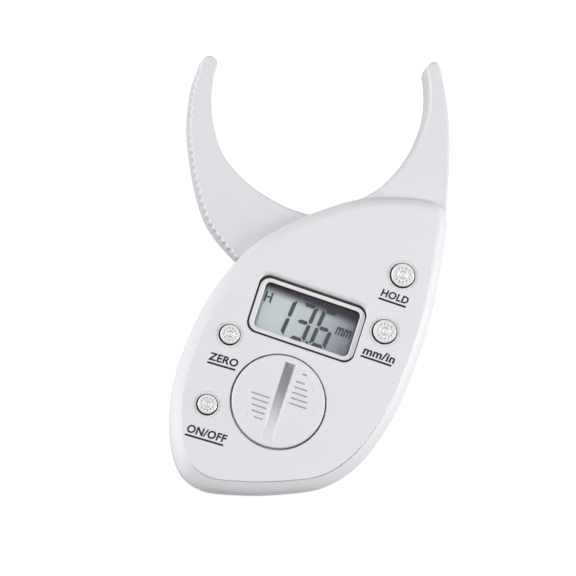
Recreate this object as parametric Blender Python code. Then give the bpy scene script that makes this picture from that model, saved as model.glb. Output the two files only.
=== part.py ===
"""Digital skinfold caliper lying on its back, in metres.

+Z points out of the display face and +Y towards the jaw tips. The origin is under the middle of the
object, on the surface it rests on. The housing is a front and a rear cover, and the fixed jaw is one
moulding with the rear cover. The moving arm turns on a bush round a post of the rear cover, between
the covers, and leaves them through a slot. A ring on its hub is read by the board above it. The board
carries the display, the four switches and the battery contacts.
"""

import math

import bmesh
import bpy
from mathutils import Vector

# Face layout, across and up in the display's own directions, and the housing's margins round it
DISPLAY_X = -0.00196
DISPLAY_Y = -0.01661
FACE_TURN = math.radians(-18.3)
DOOR_SHIFT = 0.0007
DOOR_GAP = 0.0045
COLUMN_CLEARANCE = 0.0017
LEFT_COLUMN_GAP = 0.0051
UNIT_RISE = 0.0046
HOLD_PITCH = 0.0216
ZERO_DROP = 0.0041
ON_OFF_PITCH = 0.0268
SIDE_MARGIN = 0.00847
BOTTOM_MARGIN = 0.01578

# Fits and mesh fineness
GAP = 0.0003
RUNNING_CLEARANCE = 0.0001
OVERRUN = 0.001
SPAN_STEPS = 3
JAW_STEPS = 4
LARGE_ROUND = 40
SMALL_ROUND = 24
SCREW_ROUND = 16
SMOOTH_BELOW = math.radians(35)

# Covers
FLOOR = 0.0020
WALL = 0.0020
FACE_WALL = 0.0018
FRONT_HEIGHT = 0.0058
FRONT_BEVEL = 0.0042
REAR_DRAFT = 0.0016
REAR_BEVEL = 0.0020
JAW_BACK = 0.0025

# The plan outline of both covers, anticlockwise, as shares of the half width and half length
HOUSING_SHARES = [
    (-0.182, -0.995), (0.083, -0.966), (0.324, -0.867), (0.551, -0.674), (0.717, -0.443),
    (0.856, -0.173), (0.949, 0.135), (0.969, 0.256), (0.938, 0.312), (0.862, 0.342),
    (0.741, 0.354), (0.531, 0.356), (0.343, 0.346), (0.176, 0.317), (-0.147, 0.234),
    (-0.427, 0.119), (-0.681, -0.071), (-0.869, -0.300), (-0.976, -0.511), (-0.999, -0.674),
    (-0.973, -0.818), (-0.906, -0.914), (-0.762, -0.979), (-0.505, -1.000),
]
# Front cover from rim to face, as (share of the bevel's width, share of the cover's height)
FRONT_PROFILE_SHARES = [(0, 0), (0.03, 0.22), (0.17, 0.50), (0.47, 0.76), (1, 1)]
FRONT_CAVITY_SHARES = [(0, 0), (0.06, 0.45), (0.35, 0.80), (0.75, 1)]

# Fixed jaw
JAW_OUTER_SHARES = [
    (0.952, 0.188), (0.970, 0.270), (0.986, 0.404), (0.997, 0.522),
    (1.000, 0.687), (0.976, 0.837), (0.943, 0.958),
]
JAW_TIP_SHARES = [(0.923, 0.980), (0.897, 0.986), (0.868, 0.979)]
JAW_INNER_SHARES = [
    (0.844, 0.958), (0.861, 0.894), (0.861, 0.789), (0.832, 0.697),
    (0.740, 0.565), (0.583, 0.447), (0.402, 0.365), (0.301, 0.340),
]
JAW_ROOT_SHARES = [(0.320, 0.285), (0.789, 0.212)]

# Moving arm
ARM_LIFT = 0.0025
ARM_THICKNESS = 0.0100
ARM_CLEARANCE = 0.0005
ARM_TIP_SHARES = (-0.693, 0.964)
ARM_TIP_RADIUS = 0.0029
ARM_TIP_OUTER_TURN = math.radians(170)
ARM_TIP_INNER_TURN = math.radians(-20)
ARM_TIP_STEPS = 12
ARM_INNER_SHARES = [
    (-0.666, 0.895), (-0.682, 0.772), (-0.662, 0.664), (-0.615, 0.566), (-0.532, 0.485),
    (-0.421, 0.414), (-0.283, 0.352), (-0.144, 0.307), (0.016, 0.274),
]
ARM_OUTER_SHARES = [
    (-0.509, 0.077), (-0.635, 0.167), (-0.716, 0.249), (-0.784, 0.385),
    (-0.821, 0.522), (-0.841, 0.658), (-0.827, 0.795), (-0.798, 0.886),
]
ARM_HUB_SIDE_SHARES = [(0.025, 0.249), (0.180, 0.141), (-0.017, 0.029)]
ARM_ROOT_SHARES = [(-0.174, 0.033), (-0.331, 0.044), (-0.435, 0.064)]
TOOTH_PITCH = 0.00274
TOOTH_DEPTH = 0.0009
TOOTH_END_MARGIN = 0.0012

# Pivot, from the post outwards
PIVOT_SHARES = (0.073, 0.139)
POST_RADIUS = 0.0022
BUSH_WALL = 0.0009
COLLAR_RADIUS = 0.0050
HUB_RADIUS = 0.0105
HUB_RELIEF = 0.0025
HUB_RIM = 0.0006
FRICTION_WASHER_RADIUS = 0.0050
FRICTION_WASHER_THICKNESS = 0.0003
RETAINING_WASHER_RADIUS = 0.0052
RETAINING_WASHER_THICKNESS = 0.0007
PIVOT_SCREW_RADIUS = 0.0010
PIVOT_SCREW_HEAD_RADIUS = 0.0024
PIVOT_SCREW_HEAD_HEIGHT = 0.0013
PIVOT_BORE_FLOOR = 0.0018
SCREW_CLEARANCE = 0.00015
ROTOR_CLEARANCE = 0.0004
ROTOR_MARGIN = 0.0009
ROTOR_THICKNESS = 0.0006

# The slot that the arm leaves the covers through, as directions from the pivot
SLOT_START_TURN = math.radians(57)
SLOT_END_TURN = math.radians(194)
SLOT_REACH_SHARE = 0.815
SLOT_STEP_TURN = math.radians(20)

# Circuit board
BOARD_THICKNESS = 0.0012
BOARD_MARGIN = 0.0050
BOARD_LOBE_CLEARANCE = 0.0004
BOARD_ARM_GAP = 0.0008
BOARD_CLOSED_ARM_TURN = math.radians(43)
CHIP_SHARES = (0.205, -0.729)
CHIP_RADIUS = 0.0040
CHIP_HEIGHT = 0.0012

# Display, from the board up
GLASS_LAP = 0.0014
GLASS_THICKNESS = 0.0014
ZEBRA_WIDTH = 0.0018
ZEBRA_HEIGHT = 0.0009
ZEBRA_END_MARGIN = 0.0016
HOLDER_WALL = 0.0013
BEZEL_WIDTH = 0.0393
BEZEL_HEIGHT = 0.0208
BEZEL_CORNER = 0.0035
BEZEL_RIM = 0.0025
BEZEL_INNER_CORNER = 0.0012
BEZEL_FLANGE = 0.0014
BEZEL_SINK = 0.0008
BEZEL_CLEARANCE = 0.0002
WINDOW_THICKNESS = 0.0008
WINDOW_LAP = 0.0003
CORNER_STEPS = 5

# Buttons
SMALL_BUTTON_RADIUS = 0.0037
LARGE_BUTTON_RADIUS = 0.0044
BUTTON_RISE = 0.0007
BUTTON_CROWN = 0.0005
BUTTON_FLANGE = 0.0009
BUTTON_CLEARANCE = 0.00035
SWITCH_SIDE = 0.0060
SWITCH_HEIGHT = 0.0017
PLUNGER_RADIUS = 0.0015
PLUNGER_RISE = 0.0005
PLUNGER_DEPTH = 0.0008
SWITCH_BASE = 0.0002

# Battery door and cup, from the cell outwards
CELL_RADIUS = 0.0100
CELL_HEIGHT = 0.0032
CELL_ROOM = 0.0007
CELL_EDGE = 0.0003
POCKET_CLEARANCE = 0.0005
CONTACT_THICKNESS = 0.0003
CONTACT_WIDTH = 0.0040
CONTACT_FOOT_LAP = 0.0023
CONTACT_PLUS_TURN = math.radians(-60)
CONTACT_MINUS_TURN = math.radians(215)
CONTACT_MINUS_EDGE = 0.0015
CONTACT_MINUS_LENGTH = 0.0040
CONTACT_SIDE_ROOM = 0.0004
NECK_ROOM = 0.0010
NECK_WALL = 0.0013
NECK_ROOT = 0.0004
LUG_REACH = 0.0014
LUG_THICKNESS = 0.0008
LUG_HALF_TURN = math.radians(12)
LUG_TURNS = [math.radians(10), math.radians(190)]
LUG_OVERLAP = 0.0004
NOTCH_OFFSET_TURN = math.radians(45)
NOTCH_HALF_TURN = math.radians(15)
LEDGE_THICKNESS = 0.0006
SEAL_OFFSET = 0.0015
SEAL_WIDTH = 0.0007
SEAL_HEIGHT = 0.00065
DOOR_RIM = 0.0014
DOOR_THICKNESS = 0.0024
DOOR_RISE = 0.0005
DOOR_EDGE = 0.0004
DOOR_CLEARANCE = 0.0003
COIN_SLOT_MARGIN = 0.0027
COIN_SLOT_WIDTH = 0.0042
COIN_SLOT_DEPTH = 0.0017
COIN_SLOT_STEPS = 12
CUP_WALL = 0.0018
CUP_TOP_WALL = 0.0013
CUP_SHOULDER = 0.0014

# Screws
CASE_SCREW_SHARES = [(-0.810, -0.420), (-0.602, -0.899), (0.402, -0.652), (0.807, 0.160)]
CASE_BOSS_RADIUS = 0.0034
CASE_BOSS_HEIGHT = 0.0075
FRONT_BOSS_RADIUS = 0.0031
COUNTERBORE_RADIUS = 0.0026
COUNTERBORE_DEPTH = 0.0035
CASE_SCREW_RADIUS = 0.0010
CASE_SCREW_HEAD_RADIUS = 0.0023
CASE_SCREW_HEAD_HEIGHT = 0.0020
CASE_SCREW_LENGTH = 0.0130
BOARD_SCREW_SHARES = [(-0.766, -0.755), (0.365, -0.482), (0.453, 0.120)]
BOARD_BOSS_RADIUS = 0.0024
BOARD_SCREW_RADIUS = 0.0006
BOARD_SCREW_HEAD_RADIUS = 0.0018
BOARD_SCREW_HEAD_HEIGHT = 0.0012
BOARD_SCREW_LENGTH = 0.0048
BOARD_SCREW_HOLE_CLEARANCE = 0.0004

# Looks: colour, roughness, metallic
WHITE_PLASTIC = ((0.78, 0.78, 0.80), 0.38, 0.0)
ARM_PLASTIC = ((0.74, 0.73, 0.77), 0.42, 0.0)
BEZEL_PAINT = ((0.72, 0.66, 0.69), 0.30, 0.3)
SPARKLE_PLASTIC = ((0.74, 0.74, 0.74), 0.25, 0.2)
CLEAR_PANE = ((0.75, 0.80, 0.80), 0.08, 0.0)
DISPLAY_GREY = ((0.42, 0.47, 0.45), 0.20, 0.0)
BLACK_PLASTIC = ((0.03, 0.03, 0.035), 0.50, 0.0)
BLACK_RUBBER = ((0.02, 0.02, 0.02), 0.80, 0.0)
GREY_RUBBER = ((0.25, 0.25, 0.27), 0.75, 0.0)
BOARD_GREEN = ((0.02, 0.16, 0.07), 0.45, 0.0)
BRASS = ((0.70, 0.52, 0.22), 0.30, 1.0)
SPRING_STEEL = ((0.60, 0.60, 0.58), 0.25, 1.0)
SCREW_STEEL = ((0.45, 0.45, 0.46), 0.35, 1.0)
CELL_STEEL = ((0.72, 0.72, 0.70), 0.22, 1.0)

# Heights that follow from the sizes above
arm_bottom = FLOOR + ARM_LIFT
arm_top = arm_bottom + ARM_THICKNESS
seat_top = arm_bottom - GAP
rim = arm_top + ARM_CLEARANCE
rear_rim = rim - GAP
face = rim + FRONT_HEIGHT
face_inside = face - FACE_WALL
hub_top = arm_top - HUB_RELIEF
rotor_bottom = hub_top + GAP
board_bottom = rotor_bottom + ROTOR_THICKNESS + GAP
board_top = board_bottom + BOARD_THICKNESS
on_board = board_top + GAP
friction_bottom = hub_top + GAP
retaining_bottom = friction_bottom + FRICTION_WASHER_THICKNESS + GAP
bush_top = retaining_bottom - GAP
post_top = bush_top - GAP
pivot_head_bottom = retaining_bottom + RETAINING_WASHER_THICKNESS + GAP
pivot_bore_bottom = FLOOR + PIVOT_BORE_FLOOR
glass_bottom = on_board + ZEBRA_HEIGHT + GAP
glass_top = glass_bottom + GLASS_THICKNESS
window_bottom = glass_top + GAP
window_top = window_bottom + WINDOW_THICKNESS
flange_top = face_inside - GAP
switch_top = on_board + SWITCH_HEIGHT
button_bottom = switch_top + PLUNGER_RISE + GAP
door_top = face + DOOR_RISE
door_bottom = door_top - DOOR_THICKNESS
shelf = door_bottom - GAP
ledge_bottom = shelf - LEDGE_THICKNESS
lug_top = ledge_bottom - GAP
lug_bottom = lug_top - LUG_THICKNESS
channel_floor = lug_bottom - GAP
cell_top = door_bottom - CELL_ROOM
cell_bottom = cell_top - CELL_HEIGHT
leaf_top = cell_bottom - GAP
leaf_bottom = leaf_top - CONTACT_THICKNESS
pocket_floor = leaf_bottom - GAP
foot_top = board_bottom - GAP
foot_bottom = foot_top - CONTACT_THICKNESS
rear_boss_top = FLOOR + CASE_BOSS_HEIGHT

# Radii that follow from the sizes above
bush_inner = POST_RADIUS + RUNNING_CLEARANCE
bush_outer = bush_inner + BUSH_WALL
hub_bore = bush_outer + RUNNING_CLEARANCE
relief_radius = HUB_RADIUS - HUB_RIM
rotor_inner = RETAINING_WASHER_RADIUS + ROTOR_CLEARANCE
rotor_outer = relief_radius - ROTOR_MARGIN
lobe_radius = relief_radius - BOARD_LOBE_CLEARANCE
pocket_radius = CELL_RADIUS + POCKET_CLEARANCE
contact_outer = CELL_RADIUS + GAP + CONTACT_THICKNESS
minus_outer = CELL_RADIUS - CONTACT_MINUS_EDGE
neck_inner = contact_outer + NECK_ROOM
neck_outer = neck_inner + NECK_WALL
ledge_radius = neck_outer + GAP
lug_radius = neck_outer + LUG_REACH
channel_radius = lug_radius + GAP
seal_radius = lug_radius + SEAL_OFFSET
door_radius = seal_radius + DOOR_RIM
recess_radius = door_radius + DOOR_CLEARANCE
cup_top_radius = recess_radius + CUP_TOP_WALL
cup_radius = channel_radius + CUP_WALL
shoulder_bottom = shelf - CUP_SHOULDER
foot_reach = cup_radius + GAP + CONTACT_FOOT_LAP

# Display sizes that follow from the bezel
clear_width = BEZEL_WIDTH - 2 * BEZEL_RIM
clear_height = BEZEL_HEIGHT - 2 * BEZEL_RIM
window_width = clear_width + 2 * WINDOW_LAP
window_height = clear_height + 2 * WINDOW_LAP
glass_width = clear_width + 2 * GLASS_LAP
glass_height = clear_height + 2 * GLASS_LAP
zebra_length = glass_width - 2 * ZEBRA_END_MARGIN


def around(radius, turn):
    """The place at this radius and angle from a centre."""
    return Vector((radius * math.cos(turn), radius * math.sin(turn)))


def spline(points, steps, closed=False):
    """A smooth centripetal curve through the points, with this many steps between neighbours."""
    if closed:
        padded = [points[-1], *points, points[0], points[1]]
    else:
        padded = [2 * points[0] - points[1], *points, 2 * points[-1] - points[-2]]
    curve = []
    for a, b, c, d in zip(padded, padded[1:], padded[2:], padded[3:]):
        ta = 0
        tb = ta + math.sqrt((b - a).length)
        tc = tb + math.sqrt((c - b).length)
        td = tc + math.sqrt((d - c).length)
        for step in range(steps):
            t = tb + (tc - tb) * step / steps
            ab = a.lerp(b, (t - ta) / (tb - ta))
            bc = b.lerp(c, (t - tb) / (tc - tb))
            cd = c.lerp(d, (t - tc) / (td - tc))
            abc = ab.lerp(bc, (t - ta) / (tc - ta))
            bcd = bc.lerp(cd, (t - tb) / (td - tb))
            curve.append(abc.lerp(bcd, (t - tb) / (tc - tb)))
    if not closed:
        curve.append(points[-1])
    return curve


def inset(points, distance):
    """The closed anticlockwise outline moved inwards."""
    moved = []
    for before, here, after in zip(points[-1:] + points[:-1], points, points[1:] + points[:1]):
        along = (after - before).normalized()
        moved.append(here + distance * Vector((-along.y, along.x)))
    return moved


def rounded_rectangle(width, height, radius):
    """An anticlockwise rectangle with round corners, about the origin."""
    across = width / 2 - radius
    up = height / 2 - radius
    corners = [(across, up), (-across, up), (-across, -up), (across, -up)]
    points = []
    for quarter, corner in enumerate(corners):
        for step in range(CORNER_STEPS):
            turn = (quarter + step / (CORNER_STEPS - 1)) * math.pi / 2
            points.append(Vector(corner) + around(radius, turn))
    return points


def rectangle(low_x, high_x, low_y, high_y):
    """An anticlockwise rectangle."""
    corners = [(low_x, low_y), (high_x, low_y), (high_x, high_y), (low_x, high_y)]
    return [Vector(corner) for corner in corners]


def sector(inner, outer, middle, half_turn, steps=4):
    """A ring sector, anticlockwise, centred on the direction middle."""
    turns = [middle + half_turn * (2 * step / steps - 1) for step in range(steps + 1)]
    return [around(outer, turn) for turn in turns] + [around(inner, turn) for turn in reversed(turns)]


def loft(levels):
    """A closed solid through outlines with equal numbers of points, from (points, height) pairs."""
    shape = bmesh.new()
    rings = [[shape.verts.new((x, y, height)) for x, y in points] for points, height in levels]
    sides = []
    for lower, upper in zip(rings, rings[1:]):
        for i, corner in enumerate(lower):
            j = (i + 1) % len(lower)
            sides.append(shape.faces.new((corner, lower[j], upper[j], upper[i])))
    shape.faces.new(reversed(rings[0]))
    shape.faces.new(rings[-1])
    bmesh.ops.triangulate(shape, faces=sides)
    bmesh.ops.recalc_face_normals(shape, faces=shape.faces)
    return shape


def prism(points, bottom, top):
    """An upright solid over one outline."""
    return loft([(points, bottom), (points, top)])


def turned(profile, segments):
    """A solid of revolution from (radius, height) pairs. A profile from axis to axis gets flat ends."""
    shape = bmesh.new()
    solid = profile[0][0] == 0
    turns = [2 * math.pi * i / segments for i in range(segments)]
    stations = profile[1:-1] if solid else profile
    rings = []
    for radius, height in stations:
        rings.append([shape.verts.new((*around(radius, turn), height)) for turn in turns])
    pairs = list(zip(rings, rings[1:]))
    if solid:
        shape.faces.new(reversed(rings[0]))
        shape.faces.new(rings[-1])
    else:
        pairs.append((rings[-1], rings[0]))
    for lower, upper in pairs:
        for i, corner in enumerate(lower):
            j = (i + 1) % segments
            shape.faces.new((corner, lower[j], upper[j], upper[i]))
    bmesh.ops.recalc_face_normals(shape, faces=shape.faces)
    return shape


def plug(radius, bottom, top, segments):
    """An upright cylinder."""
    return turned([(0, bottom), (radius, bottom), (radius, top), (0, top)], segments)


def ring(inner, outer, bottom, top, segments):
    """An upright tube."""
    return turned([(inner, bottom), (outer, bottom), (outer, top), (inner, top)], segments)


def screw(radius, head_radius, head_bottom, head_top, end, segments):
    """A pan-head screw. It points up if its end is above its head, and down if below."""
    if end > head_top:
        profile = [
            (0, head_bottom),
            (head_radius, head_bottom),
            (head_radius, head_top),
            (radius, head_top),
            (radius, end),
            (0, end),
        ]
    else:
        profile = [
            (0, end),
            (radius, end),
            (radius, head_bottom),
            (head_radius, head_bottom),
            (head_radius, head_top),
            (0, head_top),
        ]
    return turned(profile, segments)


def shell_object(name, shape, place=(0, 0), turn=0.0, axis=None):
    """An object from a shape built about its own centre, stood at this place in plan."""
    mesh = bpy.data.meshes.new(name)
    shape.to_mesh(mesh)
    shape.free()
    made = bpy.data.objects.new(name, mesh)
    bpy.context.scene.collection.objects.link(made)
    made.rotation_euler.z = turn
    if axis is None:
        made.location = (*place, 0)
    else:
        made.parent = axis
    return made


def piece(name, shape, look, place=(0, 0), turn=0.0, axis=None):
    """A visible sub-part with its own material."""
    made = shell_object(name, shape, place, turn, axis)
    colour, roughness, metallic = look
    finish = bpy.data.materials.new(name)
    finish.use_nodes = True
    surface = finish.node_tree.nodes["Principled BSDF"]
    surface.inputs["Base Color"].default_value = (*colour, 1)
    surface.inputs["Roughness"].default_value = roughness
    surface.inputs["Metallic"].default_value = metallic
    finish.diffuse_color = (*colour, 1)
    made.data.materials.append(finish)
    made.data.shade_smooth()
    made.data.set_sharp_from_angle(angle=SMOOTH_BELOW)
    return made


def combine(target, operation, name, shape, place=(0, 0), turn=0.0):
    """Adds a Boolean with a hidden helper solid to the target."""
    helper = shell_object(f"{target.name}_{name}", shape, place, turn)
    helper.hide_render = True
    helper.display_type = "WIRE"
    modifier = target.modifiers.new(name, "BOOLEAN")
    modifier.operation = operation
    modifier.object = helper
    modifier.solver = "EXACT"


def cut(target, name, shape, place=(0, 0), turn=0.0):
    combine(target, "DIFFERENCE", name, shape, place, turn)


def join(target, name, shape, place=(0, 0), turn=0.0):
    combine(target, "UNION", name, shape, place, turn)


def joint_axis(name, place):
    """An empty on a joint's axis, which carries the pieces that move about it."""
    axis = bpy.data.objects.new(name, None)
    bpy.context.scene.collection.objects.link(axis)
    axis.location = (*place, 0)
    axis.empty_display_size = HUB_RADIUS
    return axis


display = Vector((DISPLAY_X, DISPLAY_Y))


def on_face(across, up):
    """A place on the face, measured from the display's centre in its own directions."""
    return display + around(across, FACE_TURN) + around(up, FACE_TURN + math.pi / 2)


right_column = BEZEL_WIDTH / 2 + BEZEL_FLANGE + COLUMN_CLEARANCE + BUTTON_FLANGE + LARGE_BUTTON_RADIUS
left_column = -BEZEL_WIDTH / 2 - LEFT_COLUMN_GAP
zero_row = -BEZEL_HEIGHT / 2 - ZERO_DROP
door = on_face(-DOOR_SHIFT, -BEZEL_HEIGHT / 2 - DOOR_GAP - door_radius)
on_off = on_face(left_column, zero_row - ON_OFF_PITCH)
buttons = [
    ("on_off", on_off, SMALL_BUTTON_RADIUS),
    ("zero", on_face(left_column, zero_row), SMALL_BUTTON_RADIUS),
    ("hold", on_face(right_column, UNIT_RISE + HOLD_PITCH), LARGE_BUTTON_RADIUS),
    ("unit", on_face(right_column, UNIT_RISE), LARGE_BUTTON_RADIUS),
]
half_width = SIDE_MARGIN + BUTTON_FLANGE + SMALL_BUTTON_RADIUS - on_off.x
half_length = BOTTOM_MARGIN + door_radius - door.y


def plan(shares):
    """A place in plan from shares of the half width and half length."""
    return Vector((shares[0] * half_width, shares[1] * half_length))


housing = spline([plan(shares) for shares in HOUSING_SHARES], SPAN_STEPS, closed=True)
pivot = plan(PIVOT_SHARES)
case_screws = [plan(shares) for shares in CASE_SCREW_SHARES]
board_screws = [plan(shares) for shares in BOARD_SCREW_SHARES]


def fixed_jaw_outline():
    outer = spline([plan(shares) for shares in JAW_OUTER_SHARES], JAW_STEPS)
    tip = [plan(shares) for shares in JAW_TIP_SHARES]
    inner = spline([plan(shares) for shares in JAW_INNER_SHARES], JAW_STEPS)
    root = [plan(shares) for shares in JAW_ROOT_SHARES]
    return outer + tip + inner + root


def rear_cover():
    """The rear half of the housing and the fixed jaw, with the slot for the arm and the pivot's post."""
    bevel_inset = REAR_DRAFT * (1 - REAR_BEVEL / rear_rim)
    outside = [
        (inset(housing, REAR_DRAFT + REAR_BEVEL), 0),
        (inset(housing, bevel_inset), REAR_BEVEL),
        (housing, rear_rim),
    ]
    cover = piece("rear_cover", loft(outside), WHITE_PLASTIC)
    join(cover, "fixed_jaw", prism(fixed_jaw_outline(), JAW_BACK, arm_top))
    cavity = [
        (inset(housing, REAR_DRAFT + WALL), FLOOR),
        (inset(housing, WALL), rear_rim),
        (inset(housing, WALL), rear_rim + OVERRUN),
    ]
    cut(cover, "cavity", loft(cavity))
    span = SLOT_END_TURN - SLOT_START_TURN
    steps = round(span / SLOT_STEP_TURN)
    reach = SLOT_REACH_SHARE * half_width
    far_edge = [around(reach, SLOT_START_TURN + span * step / steps) for step in range(steps + 1)]
    cut(cover, "arm_slot", prism([Vector((0, 0)), *far_edge], seat_top, rear_rim + OVERRUN), pivot)
    join(cover, "thrust_collar", plug(COLLAR_RADIUS, FLOOR / 2, seat_top, SMALL_ROUND), pivot)
    join(cover, "post", plug(POST_RADIUS, FLOOR + GAP, post_top, SMALL_ROUND), pivot)
    bore = plug(PIVOT_SCREW_RADIUS + SCREW_CLEARANCE, pivot_bore_bottom, post_top + OVERRUN, SCREW_ROUND)
    cut(cover, "post_bore", bore, pivot)
    for number, place in enumerate(case_screws, 1):
        boss = plug(CASE_BOSS_RADIUS, FLOOR / 2, rear_boss_top, SMALL_ROUND)
        join(cover, f"boss_{number}", boss, place)
        hole = [
            (0, -OVERRUN),
            (COUNTERBORE_RADIUS, -OVERRUN),
            (COUNTERBORE_RADIUS, COUNTERBORE_DEPTH),
            (CASE_SCREW_RADIUS + GAP, COUNTERBORE_DEPTH),
            (CASE_SCREW_RADIUS + GAP, rear_boss_top + OVERRUN),
            (0, rear_boss_top + OVERRUN),
        ]
        cut(cover, f"screw_hole_{number}", turned(hole, SCREW_ROUND), place)


def front_cover():
    """The front half of the housing, with the display and button openings and the battery cup."""
    outside = [
        (inset(housing, across * FRONT_BEVEL), rim + up * FRONT_HEIGHT)
        for across, up in FRONT_PROFILE_SHARES
    ]
    cover = piece("front_cover", loft(outside), WHITE_PLASTIC)
    room = face_inside - rim
    cavity = [(inset(housing, WALL), rim - OVERRUN)]
    for across, up in FRONT_CAVITY_SHARES:
        cavity.append((inset(housing, WALL + across * FRONT_BEVEL), rim + up * room))
    cut(cover, "cavity", loft(cavity))
    in_face = face - FACE_WALL / 2
    for number, place in enumerate(case_screws, 1):
        boss = plug(FRONT_BOSS_RADIUS, rear_boss_top + GAP, in_face, SMALL_ROUND)
        join(cover, f"case_boss_{number}", boss, place)
        pilot = plug(CASE_SCREW_RADIUS + SCREW_CLEARANCE, rear_boss_top - OVERRUN, face_inside, SCREW_ROUND)
        cut(cover, f"case_pilot_{number}", pilot, place)
    for number, place in enumerate(board_screws, 1):
        join(cover, f"board_boss_{number}", plug(BOARD_BOSS_RADIUS, on_board, in_face, SMALL_ROUND), place)
        pilot = plug(BOARD_SCREW_RADIUS + SCREW_CLEARANCE, board_bottom, face_inside, SCREW_ROUND)
        cut(cover, f"board_pilot_{number}", pilot, place)
    battery_cup(cover, in_face)
    opening_width = BEZEL_WIDTH + 2 * BEZEL_CLEARANCE
    opening_height = BEZEL_HEIGHT + 2 * BEZEL_CLEARANCE
    opening = rounded_rectangle(opening_width, opening_height, BEZEL_CORNER + BEZEL_CLEARANCE)
    cut(cover, "display_opening", prism(opening, rim, face + OVERRUN), display, FACE_TURN)
    for name, place, radius in buttons:
        hole = plug(radius + BUTTON_CLEARANCE, rim, face + OVERRUN, SMALL_ROUND)
        cut(cover, f"{name}_hole", hole, place)


def battery_cup(cover, in_face):
    """The cup under the door: door recess, ledge for the lugs, seal groove, cell pocket and leaf openings."""
    cup = [
        (0, board_bottom),
        (cup_radius, board_bottom),
        (cup_radius, shoulder_bottom),
        (cup_top_radius, shoulder_bottom),
        (cup_top_radius, in_face),
        (0, in_face),
    ]
    join(cover, "battery_cup", turned(cup, LARGE_ROUND), door)
    groove_half = SEAL_WIDTH / 2 + GAP
    groove_floor = shelf - SEAL_HEIGHT - GAP
    well = [
        (0, pocket_floor),
        (pocket_radius, pocket_floor),
        (pocket_radius, channel_floor),
        (channel_radius, channel_floor),
        (channel_radius, ledge_bottom),
        (ledge_radius, ledge_bottom),
        (ledge_radius, shelf),
        (seal_radius - groove_half, shelf),
        (seal_radius - groove_half, groove_floor),
        (seal_radius + groove_half, groove_floor),
        (seal_radius + groove_half, shelf),
        (recess_radius, shelf),
        (recess_radius, face + OVERRUN),
        (0, face + OVERRUN),
    ]
    cut(cover, "battery_well", turned(well, LARGE_ROUND), door)
    for number, turn in enumerate(LUG_TURNS, 1):
        notch = sector(neck_outer, lug_radius + GAP / 2, turn + NOTCH_OFFSET_TURN, NOTCH_HALF_TURN)
        cut(cover, f"lug_notch_{number}", prism(notch, lug_bottom, shelf + OVERRUN), door)
    niche = rectangle(
        pocket_radius - OVERRUN / 2,
        contact_outer + GAP + CONTACT_SIDE_ROOM,
        -CONTACT_WIDTH / 2 - GAP,
        CONTACT_WIDTH / 2 + GAP,
    )
    cut(cover, "plus_niche", prism(niche, foot_bottom, channel_floor + OVERRUN / 2), door, CONTACT_PLUS_TURN)
    window = rectangle(
        minus_outer - CONTACT_THICKNESS - GAP,
        minus_outer + GAP,
        -CONTACT_WIDTH / 2 - GAP,
        CONTACT_WIDTH / 2 + GAP,
    )
    opening = prism(window, foot_bottom, pocket_floor + OVERRUN / 2)
    cut(cover, "minus_window", opening, door, CONTACT_MINUS_TURN)


def toothed(curve):
    """The curve with its middle stretch turned into an even row of pointed teeth."""
    lengths = [0.0]
    for here, after in zip(curve, curve[1:]):
        lengths.append(lengths[-1] + (after - here).length)
    start = TOOTH_END_MARGIN
    span = lengths[-1] - 2 * TOOTH_END_MARGIN
    halves = 2 * round(span / TOOTH_PITCH)
    points = [curve[0]]
    at = 0
    for half in range(halves + 1):
        wanted = start + span * half / halves
        while lengths[at + 1] < wanted:
            at += 1
        step = curve[at + 1] - curve[at]
        here = curve[at] + step * (wanted - lengths[at]) / (lengths[at + 1] - lengths[at])
        outwards = Vector((-step.y, step.x)).normalized()
        points.append(here + outwards * TOOTH_DEPTH * (half % 2 - 0.5))
    points.append(curve[-1])
    return points


def blade_outline():
    """The moving arm's plan, anticlockwise: inner edge up, round the tip, toothed outer edge down, root."""
    tip = plan(ARM_TIP_SHARES)
    sweep = ARM_TIP_OUTER_TURN - ARM_TIP_INNER_TURN
    turns = [ARM_TIP_INNER_TURN + sweep * step / ARM_TIP_STEPS for step in range(ARM_TIP_STEPS + 1)]
    arc = [tip + around(ARM_TIP_RADIUS, turn) for turn in turns]
    inner = spline([arc[0]] + [plan(shares) for shares in ARM_INNER_SHARES], JAW_STEPS)
    outer = spline([plan(shares) for shares in ARM_OUTER_SHARES] + [arc[-1]], JAW_STEPS)
    hub_side = [plan(shares) for shares in ARM_HUB_SIDE_SHARES]
    root = [plan(shares) for shares in ARM_ROOT_SHARES]
    upwards = list(reversed(inner))
    downwards = list(reversed(toothed(outer)))
    return upwards + arc[1:-1] + downwards + list(reversed(root)) + list(reversed(hub_side))


def moving_arm(axis):
    """The moving jaw: a thick blade, let down round the pivot to a thinner hub."""
    outline = [point - pivot for point in blade_outline()]
    arm = piece("moving_arm", prism(outline, arm_bottom, arm_top), ARM_PLASTIC, axis=axis)
    cut(arm, "hub_relief", plug(relief_radius, hub_top, arm_top + OVERRUN, LARGE_ROUND), pivot)
    join(arm, "hub", plug(HUB_RADIUS, arm_bottom, hub_top, LARGE_ROUND), pivot)
    cut(arm, "bore", plug(hub_bore, arm_bottom - OVERRUN, hub_top + OVERRUN, SMALL_ROUND), pivot)


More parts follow.
